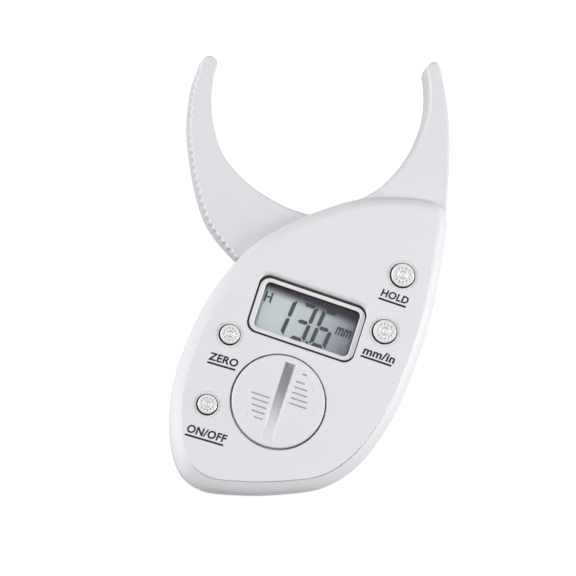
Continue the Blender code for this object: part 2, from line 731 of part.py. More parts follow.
def pivot_stack(axis):
    """What carries and holds the arm's hub, and the ring that the board reads."""
    piece("pivot_bush", ring(bush_inner, bush_outer, arm_bottom, bush_top, SMALL_ROUND), BRASS, pivot)
    friction_top = friction_bottom + FRICTION_WASHER_THICKNESS
    friction = ring(bush_outer + GAP, FRICTION_WASHER_RADIUS, friction_bottom, friction_top, SMALL_ROUND)
    piece("friction_washer", friction, SPRING_STEEL, pivot)
    washer_bore = PIVOT_SCREW_RADIUS + GAP
    washer_top = retaining_bottom + RETAINING_WASHER_THICKNESS
    washer = ring(washer_bore, RETAINING_WASHER_RADIUS, retaining_bottom, washer_top, SMALL_ROUND)
    piece("retaining_washer", washer, SPRING_STEEL, pivot)
    head_top = pivot_head_bottom + PIVOT_SCREW_HEAD_HEIGHT
    end = pivot_bore_bottom + GAP
    shape = screw(PIVOT_SCREW_RADIUS, PIVOT_SCREW_HEAD_RADIUS, pivot_head_bottom, head_top, end, SCREW_ROUND)
    piece("pivot_screw", shape, SCREW_STEEL, pivot)
    rotor = ring(rotor_inner, rotor_outer, rotor_bottom, rotor_bottom + ROTOR_THICKNESS, LARGE_ROUND)
    piece("encoder_rotor", rotor, BOARD_GREEN, axis=axis)


def arm_sweep():
    """The plan that the arm's thick part sweeps, open to closed, with room round it."""
    lower = [plan(shares) for shares in ARM_HUB_SIDE_SHARES[-1:] + ARM_ROOT_SHARES + ARM_OUTER_SHARES[:1]]
    down = Vector((0, BOARD_ARM_GAP))
    far = 2 * half_width
    left = Vector((-far, lower[-1].y))
    over = [left, Vector((-far, far)), Vector((far, far))]
    closed = pivot + around(far, BOARD_CLOSED_ARM_TURN)
    return [pivot] + [point - down for point in lower] + over + [closed]


def circuit_board():
    """The board inside the housing's outline, kept out of the arm's sweep but for a lobe over the hub."""
    outline = inset(housing, BOARD_MARGIN)
    board = piece("circuit_board", prism(outline, board_bottom, board_top), BOARD_GREEN)
    low = board_bottom - OVERRUN
    high = board_top + OVERRUN
    cut(board, "arm_sweep", prism(arm_sweep(), low, high))
    join(board, "hub_lobe", plug(lobe_radius, board_bottom, board_top, LARGE_ROUND), pivot)
    cut(board, "pivot_hole", plug(rotor_inner, low, high, SMALL_ROUND), pivot)
    cut(board, "cup_hole", plug(cup_radius + GAP, low, high, LARGE_ROUND), door)
    for number, place in enumerate(case_screws, 1):
        cut(board, f"boss_notch_{number}", plug(FRONT_BOSS_RADIUS + GAP, low, high, SMALL_ROUND), place)
    for number, place in enumerate(board_screws, 1):
        hole = plug(BOARD_SCREW_RADIUS + BOARD_SCREW_HOLE_CLEARANCE, low, high, SCREW_ROUND)
        cut(board, f"screw_hole_{number}", hole, place)
    blob = [
        (0, on_board),
        (CHIP_RADIUS, on_board),
        (CHIP_RADIUS * math.cos(math.pi / 6), on_board + CHIP_HEIGHT / 2),
        (CHIP_RADIUS / 2, on_board + CHIP_HEIGHT),
        (0, on_board + CHIP_HEIGHT),
    ]
    piece("controller_chip", turned(blob, SCREW_ROUND), BLACK_PLASTIC, plan(CHIP_SHARES))


def display_stack():
    """Holder, rubber connectors, display glass, clear pane and bezel, one above the other."""
    inner_width = glass_width + 2 * GAP
    inner_height = glass_height + 2 * GAP
    outer_width = inner_width + 2 * HOLDER_WALL
    outer_height = inner_height + 2 * HOLDER_WALL
    frame = rectangle(-outer_width / 2, outer_width / 2, -outer_height / 2, outer_height / 2)
    holder = piece("lcd_holder", prism(frame, on_board, glass_top), BLACK_PLASTIC, display, FACE_TURN)
    hollow = rectangle(-inner_width / 2, inner_width / 2, -inner_height / 2, inner_height / 2)
    cut(holder, "hollow", prism(hollow, on_board - OVERRUN, glass_top + OVERRUN), display, FACE_TURN)
    edge = glass_height / 2 - ZEBRA_WIDTH
    for name, low in (("zebra_strip_upper", edge), ("zebra_strip_lower", -glass_height / 2)):
        strip = rectangle(-zebra_length / 2, zebra_length / 2, low, low + ZEBRA_WIDTH)
        piece(name, prism(strip, on_board, on_board + ZEBRA_HEIGHT), GREY_RUBBER, display, FACE_TURN)
    glass = rectangle(-glass_width / 2, glass_width / 2, -glass_height / 2, glass_height / 2)
    piece("lcd_glass", prism(glass, glass_bottom, glass_top), DISPLAY_GREY, display, FACE_TURN)
    pane = rounded_rectangle(window_width, window_height, BEZEL_INNER_CORNER)
    piece("display_window", prism(pane, window_bottom, window_top), CLEAR_PANE, display, FACE_TURN)
    flange_width = BEZEL_WIDTH + 2 * BEZEL_FLANGE
    flange_height = BEZEL_HEIGHT + 2 * BEZEL_FLANGE
    flange = rounded_rectangle(flange_width, flange_height, BEZEL_CORNER)
    bezel = piece("lcd_bezel", prism(flange, window_bottom, flange_top), BEZEL_PAINT, display, FACE_TURN)
    body = rounded_rectangle(BEZEL_WIDTH, BEZEL_HEIGHT, BEZEL_CORNER)
    join(bezel, "body", prism(body, window_bottom + GAP, face - BEZEL_SINK), display, FACE_TURN)
    opening = rounded_rectangle(clear_width, clear_height, BEZEL_INNER_CORNER)
    cut(bezel, "opening", prism(opening, window_bottom - OVERRUN, face), display, FACE_TURN)
    seat = rounded_rectangle(window_width + 2 * GAP, window_height + 2 * GAP, BEZEL_INNER_CORNER + GAP)
    cut(bezel, "window_seat", prism(seat, window_bottom - OVERRUN, window_top + GAP), display, FACE_TURN)


def button_set(name, place, radius):
    """A crowned button with a hidden flange, its switch on the board, and the plunger that moves with it."""
    axis = joint_axis(f"{name}_button_axis", place)
    top = face + BUTTON_RISE
    flange = radius + BUTTON_FLANGE
    profile = [
        (0, button_bottom),
        (flange, button_bottom),
        (flange, flange_top),
        (radius, flange_top),
        (radius, top - BUTTON_CROWN),
        (radius - BUTTON_CROWN, top),
        (0, top),
    ]
    piece(f"{name}_button", turned(profile, SMALL_ROUND), SPARKLE_PLASTIC, axis=axis)
    side = SWITCH_SIDE / 2
    box = prism(rectangle(-side, side, -side, side), on_board, switch_top)
    body = piece(f"{name}_switch", box, BLACK_PLASTIC, place, FACE_TURN)
    well = plug(PLUNGER_RADIUS + GAP, on_board + SWITCH_BASE, switch_top + OVERRUN, SCREW_ROUND)
    cut(body, "well", well, place)
    plunger = plug(PLUNGER_RADIUS, switch_top - PLUNGER_DEPTH, switch_top + PLUNGER_RISE, SCREW_ROUND)
    piece(f"{name}_plunger", plunger, BLACK_PLASTIC, axis=axis)


def coin_slot():
    """A channel whose floor is an arc, extruded across X from its side view."""
    half = door_radius - COIN_SLOT_MARGIN
    arc_radius = (half * half + COIN_SLOT_DEPTH * COIN_SLOT_DEPTH) / (2 * COIN_SLOT_DEPTH)
    reach = math.asin(half / arc_radius)
    centre = door_top - COIN_SLOT_DEPTH + arc_radius
    turns = [reach * (2 * step / COIN_SLOT_STEPS - 1) for step in range(COIN_SLOT_STEPS + 1)]
    floor = [(arc_radius * math.sin(turn), centre - arc_radius * math.cos(turn)) for turn in turns]
    side_view = floor + [(half, door_top + OVERRUN), (-half, door_top + OVERRUN)]
    shape = bmesh.new()
    left = [shape.verts.new((-COIN_SLOT_WIDTH / 2, along, height)) for along, height in side_view]
    right = [shape.verts.new((COIN_SLOT_WIDTH / 2, along, height)) for along, height in side_view]
    shape.faces.new(left)
    shape.faces.new(reversed(right))
    for i, corner in enumerate(left):
        j = (i + 1) % len(left)
        shape.faces.new((corner, right[i], right[j], left[j]))
    bmesh.ops.recalc_face_normals(shape, faces=shape.faces)
    return shape


def battery_door():
    """The round door: a disc with a coin slot, and a neck below it with two locking lugs."""
    axis = joint_axis("battery_door_axis", door)
    profile = [
        (0, door_bottom),
        (door_radius, door_bottom),
        (door_radius, door_top - DOOR_EDGE),
        (door_radius - DOOR_EDGE, door_top),
        (0, door_top),
    ]
    cap = piece("battery_door", turned(profile, LARGE_ROUND), WHITE_PLASTIC, axis=axis)
    neck = ring(neck_inner, neck_outer, lug_bottom, door_bottom + NECK_ROOT, LARGE_ROUND)
    join(cap, "neck", neck, door)
    for number, turn in enumerate(LUG_TURNS, 1):
        lug = sector(neck_outer - LUG_OVERLAP, lug_radius, turn, LUG_HALF_TURN)
        join(cap, f"lug_{number}", prism(lug, lug_bottom, lug_top), door)
    cut(cap, "coin_slot", coin_slot(), door, FACE_TURN)


def battery():
    """The coin cell, its two spring leaves and the door's seal."""
    half = SEAL_WIDTH / 2
    seal = ring(seal_radius - half, seal_radius + half, shelf - SEAL_HEIGHT, shelf, LARGE_ROUND)
    piece("door_seal", seal, BLACK_RUBBER, door)
    can = [
        (0, cell_bottom),
        (CELL_RADIUS - CELL_EDGE, cell_bottom),
        (CELL_RADIUS, cell_bottom + CELL_EDGE),
        (CELL_RADIUS, cell_top - CELL_EDGE),
        (CELL_RADIUS - CELL_EDGE, cell_top),
        (0, cell_top),
    ]
    piece("coin_cell", turned(can, LARGE_ROUND), CELL_STEEL, door)
    inner = CELL_RADIUS + GAP
    plus = [
        (inner, foot_bottom),
        (foot_reach, foot_bottom),
        (foot_reach, foot_top),
        (contact_outer, foot_top),
        (contact_outer, cell_top - CELL_EDGE),
        (inner, cell_top - CELL_EDGE),
    ]
    piece("battery_contact_plus", leaf(plus), SPRING_STEEL, door, CONTACT_PLUS_TURN)
    minus = [
        (minus_outer - CONTACT_THICKNESS, foot_bottom),
        (foot_reach, foot_bottom),
        (foot_reach, foot_top),
        (minus_outer, foot_top),
        (minus_outer, leaf_top),
        (minus_outer - CONTACT_MINUS_LENGTH, leaf_top),
        (minus_outer - CONTACT_MINUS_LENGTH, leaf_bottom),
        (minus_outer - CONTACT_THICKNESS, leaf_bottom),
    ]
    piece("battery_contact_minus", leaf(minus), SPRING_STEEL, door, CONTACT_MINUS_TURN)


def leaf(side_view):
    """A bent strip from its side view of (distance from the door's axis, height), centred across X."""
    shape = bmesh.new()
    near = [shape.verts.new((out, -CONTACT_WIDTH / 2, height)) for out, height in side_view]
    far = [shape.verts.new((out, CONTACT_WIDTH / 2, height)) for out, height in side_view]
    shape.faces.new(near)
    shape.faces.new(reversed(far))
    for i, corner in enumerate(near):
        j = (i + 1) % len(near)
        shape.faces.new((corner, far[i], far[j], near[j]))
    bmesh.ops.recalc_face_normals(shape, faces=shape.faces)
    return shape


def fasteners():
    """The case screws, driven from the back, and the board screws, driven up into the front cover."""
    seat = COUNTERBORE_DEPTH - GAP
    low = seat - CASE_SCREW_HEAD_HEIGHT
    end = seat + CASE_SCREW_LENGTH
    for number, place in enumerate(case_screws, 1):
        shape = screw(CASE_SCREW_RADIUS, CASE_SCREW_HEAD_RADIUS, low, seat, end, SCREW_ROUND)
        piece(f"case_screw_{number}", shape, SCREW_STEEL, place)
    under = board_bottom - GAP
    low = under - BOARD_SCREW_HEAD_HEIGHT
    end = under + BOARD_SCREW_LENGTH
    for number, place in enumerate(board_screws, 1):
        shape = screw(BOARD_SCREW_RADIUS, BOARD_SCREW_HEAD_RADIUS, low, under, end, SCREW_ROUND)
        piece(f"board_screw_{number}", shape, SCREW_STEEL, place)


def main():
    for existing in list(bpy.data.objects):
        bpy.data.objects.remove(existing, do_unlink=True)
    arm_axis = joint_axis("arm_axis", pivot)
    rear_cover()
    front_cover()
    moving_arm(arm_axis)
    pivot_stack(arm_axis)
    circuit_board()
    display_stack()
    for name, place, radius in buttons:
        button_set(name, place, radius)
    battery_door()
    battery()
    fasteners()


main()
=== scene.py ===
"""The finished look of the digital skinfold caliper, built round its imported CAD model.

Shapes are worked out in millimetres, in the CAD's own frame: +Z out of the display face and +Y towards
the jaw tips. They become metres when their patches are turned into a mesh. Each new piece stands for a
CAD node, rides on that node's body and stays in its place. The other nodes keep their mesh and get a
material.
"""

import math

import bmesh
import bpy
import numpy as np
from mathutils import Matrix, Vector
from mathutils.geometry import delaunay_2d_cdt


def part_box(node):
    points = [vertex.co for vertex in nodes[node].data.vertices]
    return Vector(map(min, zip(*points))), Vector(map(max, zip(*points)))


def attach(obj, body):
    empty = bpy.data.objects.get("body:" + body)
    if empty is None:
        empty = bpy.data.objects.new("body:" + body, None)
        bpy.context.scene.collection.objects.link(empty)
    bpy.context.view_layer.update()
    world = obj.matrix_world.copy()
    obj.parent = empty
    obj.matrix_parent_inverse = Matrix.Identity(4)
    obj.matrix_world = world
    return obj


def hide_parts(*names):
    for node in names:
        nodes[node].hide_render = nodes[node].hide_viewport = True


MM = 0.001
FULL_TURN = 2 * math.pi

# Plan of the covers and jaws, as shares of the half width and half length
HALF_WIDTH = 51.490
HALF_LENGTH = 79.846
HOUSING = [
    (-0.182, -0.995), (0.083, -0.966), (0.324, -0.867), (0.551, -0.674), (0.717, -0.443),
    (0.856, -0.173), (0.949, 0.135), (0.969, 0.256), (0.938, 0.312), (0.862, 0.342),
    (0.741, 0.354), (0.531, 0.356), (0.343, 0.346), (0.176, 0.317), (-0.147, 0.234),
    (-0.427, 0.119), (-0.681, -0.071), (-0.869, -0.300), (-0.976, -0.511), (-0.999, -0.674),
    (-0.973, -0.818), (-0.906, -0.914), (-0.762, -0.979), (-0.505, -1.000),
]
JAW_OUTER = [
    (0.952, 0.188), (0.970, 0.270), (0.986, 0.404), (0.997, 0.522),
    (1.000, 0.687), (0.976, 0.837), (0.943, 0.958),
]
JAW_TIP = [(0.923, 0.980), (0.897, 0.986), (0.868, 0.979)]
JAW_INNER = [
    (0.844, 0.958), (0.861, 0.894), (0.861, 0.789), (0.832, 0.697),
    (0.740, 0.565), (0.583, 0.447), (0.402, 0.365), (0.301, 0.340),
]
JAW_ROOT = [(0.320, 0.285), (0.789, 0.212)]
JAW_LEAN = 0.9
ARM_TIP = (-0.693, 0.964)
ARM_TIP_RADIUS = 2.9
ARM_TIP_TURNS = (math.radians(-20), math.radians(170))
ARM_INNER = [
    (-0.666, 0.895), (-0.682, 0.772), (-0.662, 0.664), (-0.615, 0.566), (-0.532, 0.485),
    (-0.421, 0.414), (-0.283, 0.352), (-0.144, 0.307), (0.016, 0.274),
]
ARM_OUTER = [
    (-0.509, 0.077), (-0.635, 0.167), (-0.716, 0.249), (-0.784, 0.385),
    (-0.821, 0.522), (-0.841, 0.658), (-0.827, 0.795), (-0.798, 0.886),
]
ARM_HUB_SIDE = [(0.025, 0.249), (0.180, 0.141), (-0.017, 0.029)]
ARM_ROOT = [(-0.174, 0.033), (-0.331, 0.044), (-0.435, 0.064)]

# Heights that the CAD's nodes meet at
FLOOR = 2.0
ARM_BOTTOM = 4.5
ARM_TOP = 14.5
SEAT = 4.2
REAR_RIM = 14.7
RIM = 15.0
FACE = 20.8
FACE_INSIDE = 19.0
ON_BOARD = 14.7
GLASS_TOP = 17.3

# Slanted features of the face, shifts off the CAD's middles, and the keys' radii and rings
FACE_TURN = math.radians(-18.3)
GAP_SHIFT = np.array([-0.07, -0.13])
WINDOW_SHIFT = np.array([-0.08, 0.02])
BUTTONS = {"on_off": 3.7, "zero": 3.7, "hold": 4.4, "unit": 4.4}
KEY_GAP = 0.4
KEY_RING = [(0.98, 0), (0.80, 0.28), (0.62, 0.03), (0.25, 0.05), (0.10, 0.12), (0.02, 0.28), (0, 0.5)]

# Fineness
OUTLINE_POINTS = 480
ROUND = 96
FILLET_STEPS = 6
MERGE = 0.0005
SMOOTH_BELOW = math.radians(32)
FINE = 1e-7

# The triangulation's name for leaving out what lies outside the loops
INSIDE = 1

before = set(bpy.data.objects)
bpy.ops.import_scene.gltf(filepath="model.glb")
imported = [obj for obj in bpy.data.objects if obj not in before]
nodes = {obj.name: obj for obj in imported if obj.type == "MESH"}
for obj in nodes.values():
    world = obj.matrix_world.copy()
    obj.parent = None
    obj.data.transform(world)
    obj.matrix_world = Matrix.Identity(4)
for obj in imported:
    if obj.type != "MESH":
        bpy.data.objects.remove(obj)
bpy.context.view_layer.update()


# Plan curves


def shares(points):
    """Places in plan from shares of the half width and half length."""
    return np.array(points, float) * (HALF_WIDTH, HALF_LENGTH)


def centre(node):
    """The middle of a CAD node in plan."""
    low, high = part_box(node)
    return (np.array(low[:2]) + np.array(high[:2])) / 2 / MM


def levels(node):
    """The lowest and highest level of a CAD node."""
    low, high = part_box(node)
    return low[2] / MM, high[2] / MM


def turned_about(points, turn):
    """Plan places turned about the origin."""
    c, s = math.cos(turn), math.sin(turn)
    return points @ np.array([[c, s], [-s, c]])


def rays(turns):
    """Unit directions in plan at these angles."""
    return np.stack([np.cos(turns), np.sin(turns)], axis=-1)


def steps_round(count=ROUND):
    """Equal angles round a full turn, from the X direction on."""
    return np.arange(count) * FULL_TURN / count


def near(middles, reach):
    """Which of the steps round lie within reach of these directions, all in degrees."""
    turns = np.degrees(steps_round())
    return np.any([np.abs((turns - middle + 180) % 360 - 180) < reach for middle in middles], axis=0)


def spline(points, steps, closed=False):
    """A centripetal Catmull-Rom curve: three rounds of linear blends between knots a root of a chord
    apart."""
    points = np.asarray(points, float)
    first, last = 2 * points[:1] - points[1:2], 2 * points[-1:] - points[-2:-1]
    padded = np.concatenate([points[-1:], points, points[:2]] if closed else [first, points, last])
    knots = [padded[i : len(padded) - 3 + i, None, :] for i in range(4)]
    gaps = [np.sqrt(np.linalg.norm(b - a, axis=2, keepdims=True)) for a, b in zip(knots, knots[1:])]
    at = np.concatenate([[gaps[0] * 0], np.cumsum(gaps, axis=0)])
    t = at[1] + gaps[1] * (np.arange(steps) / steps)[None, :, None]
    for span in (1, 2):
        shares_of = (t - at[:-span]) / (at[span:] - at[:-span])
        knots = [a + (b - a) * share for a, b, share in zip(knots, knots[1:], shares_of)]
    curve = (knots[0] + (knots[1] - knots[0]) * (t - at[1]) / gaps[1]).reshape(-1, 2)
    return curve if closed else np.concatenate([curve, points[-1:]])


def lengths(points):
    """How far along a polyline each of its points lies."""
    return np.concatenate([[0], np.cumsum(np.linalg.norm(np.diff(points, axis=0), axis=1))])


def even(points, count):
    """Points at this many equal steps of a closed polyline's length in plan.

    Columns after the first two are values that go with the points.
    """
    points = np.concatenate([points, points[:1]])
    reach = lengths(points[:, :2])
    wanted = np.linspace(0, reach[-1], count, endpoint=False)
    return np.stack([np.interp(wanted, reach, column) for column in points.T], axis=1)


def unit(ways):
    """The directions of vectors."""
    return ways / np.maximum(np.linalg.norm(ways, axis=-1, keepdims=True), FINE)


def inward(outline, blur=0.0):
    """Unit directions to the inside of a closed anticlockwise outline, blurred over this many points."""
    along = np.roll(outline, -1, axis=0) - np.roll(outline, 1, axis=0)
    across = unit(np.stack([-along[:, 1], along[:, 0]], axis=1))
    waves = np.fft.fftfreq(len(outline))[:, None]
    keep = np.exp(-2 * (math.pi * waves * blur) ** 2)
    return unit(np.fft.ifft(np.fft.fft(across, axis=0) * keep, axis=0).real) if blur else across


def circle(middle, radius, count=ROUND):
    """Points of a circle, from the X direction on."""
    return np.asarray(middle) + radius * rays(steps_round(count))


def rounded_box(width, height, corner, steps=8):
    """An anticlockwise rectangle whose corners are quarter circles, about the origin."""
    turns = (np.arange(4)[:, None] + np.linspace(0, 1, steps)) * math.pi / 2
    corners = np.array([(1, 1), (-1, 1), (-1, -1), (1, -1)]) * (width / 2 - corner, height / 2 - corner)
    return (corners[:, None] + corner * rays(turns)).reshape(-1, 2)


def softened(corners, radii, closed=False, steps=FILLET_STEPS):
    """A polyline whose corners are parabolas that start and end a radius from each corner."""
    corners = np.asarray(corners, float)
    radii = np.broadcast_to(np.asarray(radii, float), len(corners))[:, None]
    back, on = (np.roll(corners, shift, axis=0) - corners for shift in (1, -1))
    if not closed:
        back[0], on[-1] = 0, 0
    start, middle, end = (place[:, None] for place in (corners + unit(back) * radii, corners,
                                                       corners + unit(on) * radii))
    t = np.linspace(0, 1, steps)[:, None]
    points = (1 - t) ** 2 * start + 2 * t * (1 - t) * middle + t**2 * end
    points = points.reshape(-1, corners.shape[1])
    fresh = np.linalg.norm(points - np.roll(points, 1, axis=0), axis=1) > 1e-4
    fresh[0] |= not closed
    return points[fresh]


def ease(value):
    """A smooth step from 0 to 1."""
    value = np.clip(value, 0, 1)
    return value * value * (3 - 2 * value)


def lifted(outlines, heights):
    """Places from plan points and their heights. A height that stands alone holds for the whole row."""
    outlines = np.asarray(outlines, float)
    return np.concatenate([outlines, np.broadcast_to(heights, outlines.shape[:-1])[..., None]], axis=-1)


# Surface patches


def grid(rows, columns, around=True, along=False):
    """Quads between the neighbours of a grid of vertices, counted row by row."""
    row = np.arange(rows if along else rows - 1)[:, None]
    column = np.arange(columns if around else columns - 1)
    here, there, beside = row * columns, (row + 1) % rows * columns, (column + 1) % columns
    return np.stack([here + column, here + beside, there + beside, there + column], axis=2).reshape(-1, 4)


def merged(mesh, outwards=False):
    """The mesh with its doubles merged, and with its faces turned outwards if asked."""
    shape = bmesh.new()
    shape.from_mesh(mesh)
    bmesh.ops.remove_doubles(shape, verts=shape.verts, dist=MERGE * MM)
    if outwards:
        bmesh.ops.recalc_face_normals(shape, faces=shape.faces)
    shape.to_mesh(mesh)
    shape.free()
    return mesh


class Surface:
    """The patches of one piece, in millimetres, until they are joined into one mesh."""

    def __init__(self):
        """Starts without patches."""
        self.places, self.faces, self.flats = [], [], []
        self.size = 0

    def add(self, places, faces, flat=False):
        """Adds vertices and faces. A flat patch keeps a crisp border, so that it shades evenly."""
        places = places.reshape(-1, 3)
        self.places.append(places)
        self.faces.append(faces + self.size)
        self.flats.append(np.full(len(faces), len(self.flats) + 1 if flat else 0))
        self.size += len(places)
        return self

    def loft(self, outlines, heights, along=False):
        """A wall through rows of plan points, each row at its height or each point at its own."""
        places = lifted(outlines, np.reshape(heights, (len(heights), -1)))
        return self.add(places, grid(*places.shape[:2], along=along))

    def turn(self, profile, middle, count=ROUND, radii=None):
        """A profile of radius and height turned about an upright axis. radii gives every point its radius."""
        profile = np.asarray(profile, float)
        radii = profile[:, :1] if radii is None else radii
        return self.loft(radii[..., None] * rays(steps_round(count)) + middle, profile[:, 1])

    def fill(self, loops, height):
        """A level patch between closed loops: triangles whose middle is inside an odd number of them."""
        points = np.concatenate(loops)
        starts = np.cumsum([0] + [len(loop) for loop in loops])
        ahead = [first + np.roll(np.arange(len(loop)), -1) for first, loop in zip(starts, loops)]
        edges = np.stack([np.arange(len(points)), np.concatenate(ahead)], axis=1)
        made = delaunay_2d_cdt([Vector(p) for p in points], edges.tolist(), [], INSIDE, FINE)
        flat_points, triangles = np.array([tuple(p) for p in made[0]]), np.array(made[2])
        x, y = np.moveaxis(flat_points[triangles].mean(axis=1)[:, None], 2, 0)
        (start_x, start_y), (end_x, end_y) = points[edges[:, 0]].T, points[edges[:, 1]].T
        rise = np.where(start_y == end_y, 1, end_y - start_y)
        cross = start_x + (y - start_y) * (end_x - start_x) / rise
        crossed = ((start_y > y) != (end_y > y)) & (x < cross)
        odd = crossed.sum(axis=1) % 2 == 1
        return self.add(lifted(flat_points, height), triangles[odd], flat=True)

    def slab(self, rows, heights):
        """A wall through rows of plan points, closed by level patches at its first and last row."""
        self.loft(rows, heights)
        self.fill([rows[0]], heights[0])
        return self.fill([rows[-1]], heights[-1])

    def prism(self, outline, bottom, top, edge=0.0):
        """A slab over a closed outline, its rims rounded over edge."""
        rise = [(edge, bottom), (0, bottom), (0, top), (edge, top)]
        profile = softened(rise, [0, edge, edge, 0]) if edge else np.array(rise)
        return self.slab(outline + profile[:, None, :1] * inward(outline), profile[:, 1])

    def mesh(self, name):
        """One mesh in metres, with its doubles merged and its faces turned outwards."""
        made = bpy.data.meshes.new(name)
        faces = [face for patch in self.faces for face in patch.tolist()]
        made.from_pydata((np.concatenate(self.places) * MM).tolist(), [], faces)
        made.attributes.new("flat_patch", "INT", "FACE").data.foreach_set("value", np.concatenate(self.flats))
        return merged(made, outwards=True)


def column(items, name, kind=np.int32, width=1):
    """One property of many parts of a mesh, as an array."""
    values = np.zeros(len(items) * width, kind)
    items.foreach_get(name, values)
    return values


def shade(mesh, below):
    """Smooth shading with crisp edges where faces meet steeply, and round every flat patch."""
    mesh.shade_smooth()
    mesh.set_sharp_from_angle(angle=below)
    flats = mesh.attributes["flat_patch"]
    patch = np.repeat(column(flats.data, "value"), column(mesh.polygons, "loop_total"))
    edge = column(mesh.loops, "edge_index")
    low, high = np.full(len(mesh.edges), patch.max() + 1), np.full(len(mesh.edges), -1)
    np.minimum.at(low, edge, patch)
    np.maximum.at(high, edge, patch)
    sharp = column(mesh.edges, "use_edge_sharp", bool)
    mesh.edges.foreach_set("use_edge_sharp", sharp | (low != high))
    mesh.attributes.remove(flats)


def linked(name, data):
    """A new object in the scene."""
    made = bpy.data.objects.new(name, data)
    bpy.context.scene.collection.objects.link(made)
    return made


def coat(thing, material):
    """Gives an object one material."""
    thing.data.materials.clear()
    thing.data.materials.append(material)


def dressed(name, shape, body, slot, material, *replaced, below=SMOOTH_BELOW):
    """An object of the finished part: it rides on a body, and stands for the CAD nodes that it replaces.

    The shape is a surface or a mesh. It is smooth where faces meet below this angle, or flat at 0.
    """
    mesh = shape.mesh(name) if isinstance(shape, Surface) else shape
    if below:
        shade(mesh, below)
    made = linked(name, mesh)
    coat(made, material)
    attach(made, body)
    if replaced:
        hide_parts(*replaced)


def baked(thing):
    """The mesh that an object's modifiers or letters make. The object goes."""
    bpy.context.view_layer.update()
    mesh = bpy.data.meshes.new_from_object(thing.evaluated_get(bpy.context.evaluated_depsgraph_get()))
    bpy.data.objects.remove(thing, do_unlink=True)
    return mesh


def combined(base, *changes):
    """The base surface after Booleans with other closed surfaces, as a mesh."""
    keeper = linked("base", base.mesh("base"))
    helpers = []
    for operation, surface in changes:
        helpers.append(linked("helper", surface.mesh("helper")))
        modifier = keeper.modifiers.new(operation, "BOOLEAN")
        modifier.operation, modifier.solver, modifier.object = operation, "EXACT", helpers[-1]
    mesh = merged(baked(keeper))
    for spare in helpers:
        bpy.data.objects.remove(spare, do_unlink=True)
    mesh.validate()
    return mesh


# Places taken from the CAD

display = centre("lcd_bezel")
door = centre("battery_door")
pivot = centre("pivot_bush")
case_screws = [centre(f"case_screw_{number}") for number in range(1, 5)]
board_screws = [centre(f"board_screw_{number}") for number in range(1, 4)]
buttons = {name: centre(f"{name}_button") for name in BUTTONS}


def on_face(points):
    """Plan places from places across and up the display, measured from its middle."""
    return turned_about(np.asarray(points, float), FACE_TURN) + display


# Materials


def put(tree, kind, inputs=None, **settings):
    """A node with its settings, its values, and its links from other nodes' sockets."""
    made = tree.nodes.new("ShaderNode" + kind)
    for name, value in settings.items():
        setattr(made, name, value)
    for name, value in (inputs or {}).items():
        if isinstance(value, bpy.types.NodeSocket):
            tree.links.new(value, made.inputs[name])
        else:
            made.inputs[name].default_value = value
    return made


def joined(tree, results, sockets):
    """Links results to sockets, in order. Returns the tree."""
    for result, socket in zip(results, sockets):
        tree.links.new(result, socket)
    return tree


def place_on(tree):
    """The place on the object, in its own coordinates."""
    return put(tree, "TexCoord").outputs["Object"]


def maths(tree, operation, *values):
    """What a Math node makes of numbers and sockets."""
    return put(tree, "Math", dict(enumerate(values)), operation=operation).outputs[0]


def vectors(tree, operation, *values, result=0, **scale):
    """What a Vector Math node makes of vectors, sockets and a scale."""
    values = {**dict(enumerate(values)), **scale}
    return put(tree, "VectorMath", values, operation=operation).outputs[result]


def scaled(tree, vector, factor):
    """A vector or colour times a socket's number."""
    return vectors(tree, "SCALE", vector, Scale=factor)


def reach_along(tree, place, direction):
    """How far a place lies in a direction of the plan."""
    return vectors(tree, "DOT_PRODUCT", place, (*direction, 0), result="Value")


def brightening(tree, value, low, high, dark):
    """A brightness that goes smoothly from dark where the value is low to 1 where it is high."""
    values = {"Value": value, "From Min": low, "From Max": high, "To Min": dark}
    return put(tree, "MapRange", values, interpolation_type="SMOOTHSTEP").outputs[0]


def group(name, inputs, outputs):
    """A shader node group with number inputs. Returns its tree, inputs, outputs and place on the object."""
    tree = bpy.data.node_groups.new(name, "ShaderNodeTree")
    for socket, value in inputs.items():
        made = tree.interface.new_socket(socket, in_out="INPUT", socket_type="NodeSocketFloat")
        made.default_value = value
    for socket in outputs:
        kind = "NodeSocketVector" if socket == "Normal" else "NodeSocketFloat"
        tree.interface.new_socket(socket, in_out="OUTPUT", socket_type=kind)
    given, out = tree.nodes.new("NodeGroupInput"), tree.nodes.new("NodeGroupOutput")
    return tree, given.outputs, out.inputs, place_on(tree)


def grain_group():
    """Moulded plastic: fine spark-eroded grain and a slow unevenness, as a height and a brightness."""
    tree, given, out, place = group(
        "mould_grain",
        {"Grain Size": 0.0003, "Patch Size": 0.012, "Contrast": 0.04},
        ["Height", "Brightness", "Roughness Shift"],
    )
    noises = []
    for size, detail in (("Grain Size", 2.0), ("Patch Size", 3.0)):
        values = {"Vector": place, "Scale": maths(tree, "DIVIDE", 1.0, given[size]), "Detail": detail}
        noises.append(put(tree, "TexNoise", values).outputs["Fac"])
    fine, slow = noises
    centred = maths(tree, "SUBTRACT", maths(tree, "ADD", fine, slow), 1.0)
    shift = maths(tree, "MULTIPLY", centred, given["Contrast"])
    return joined(tree, (fine, maths(tree, "ADD", shift, 1.0), shift), out)


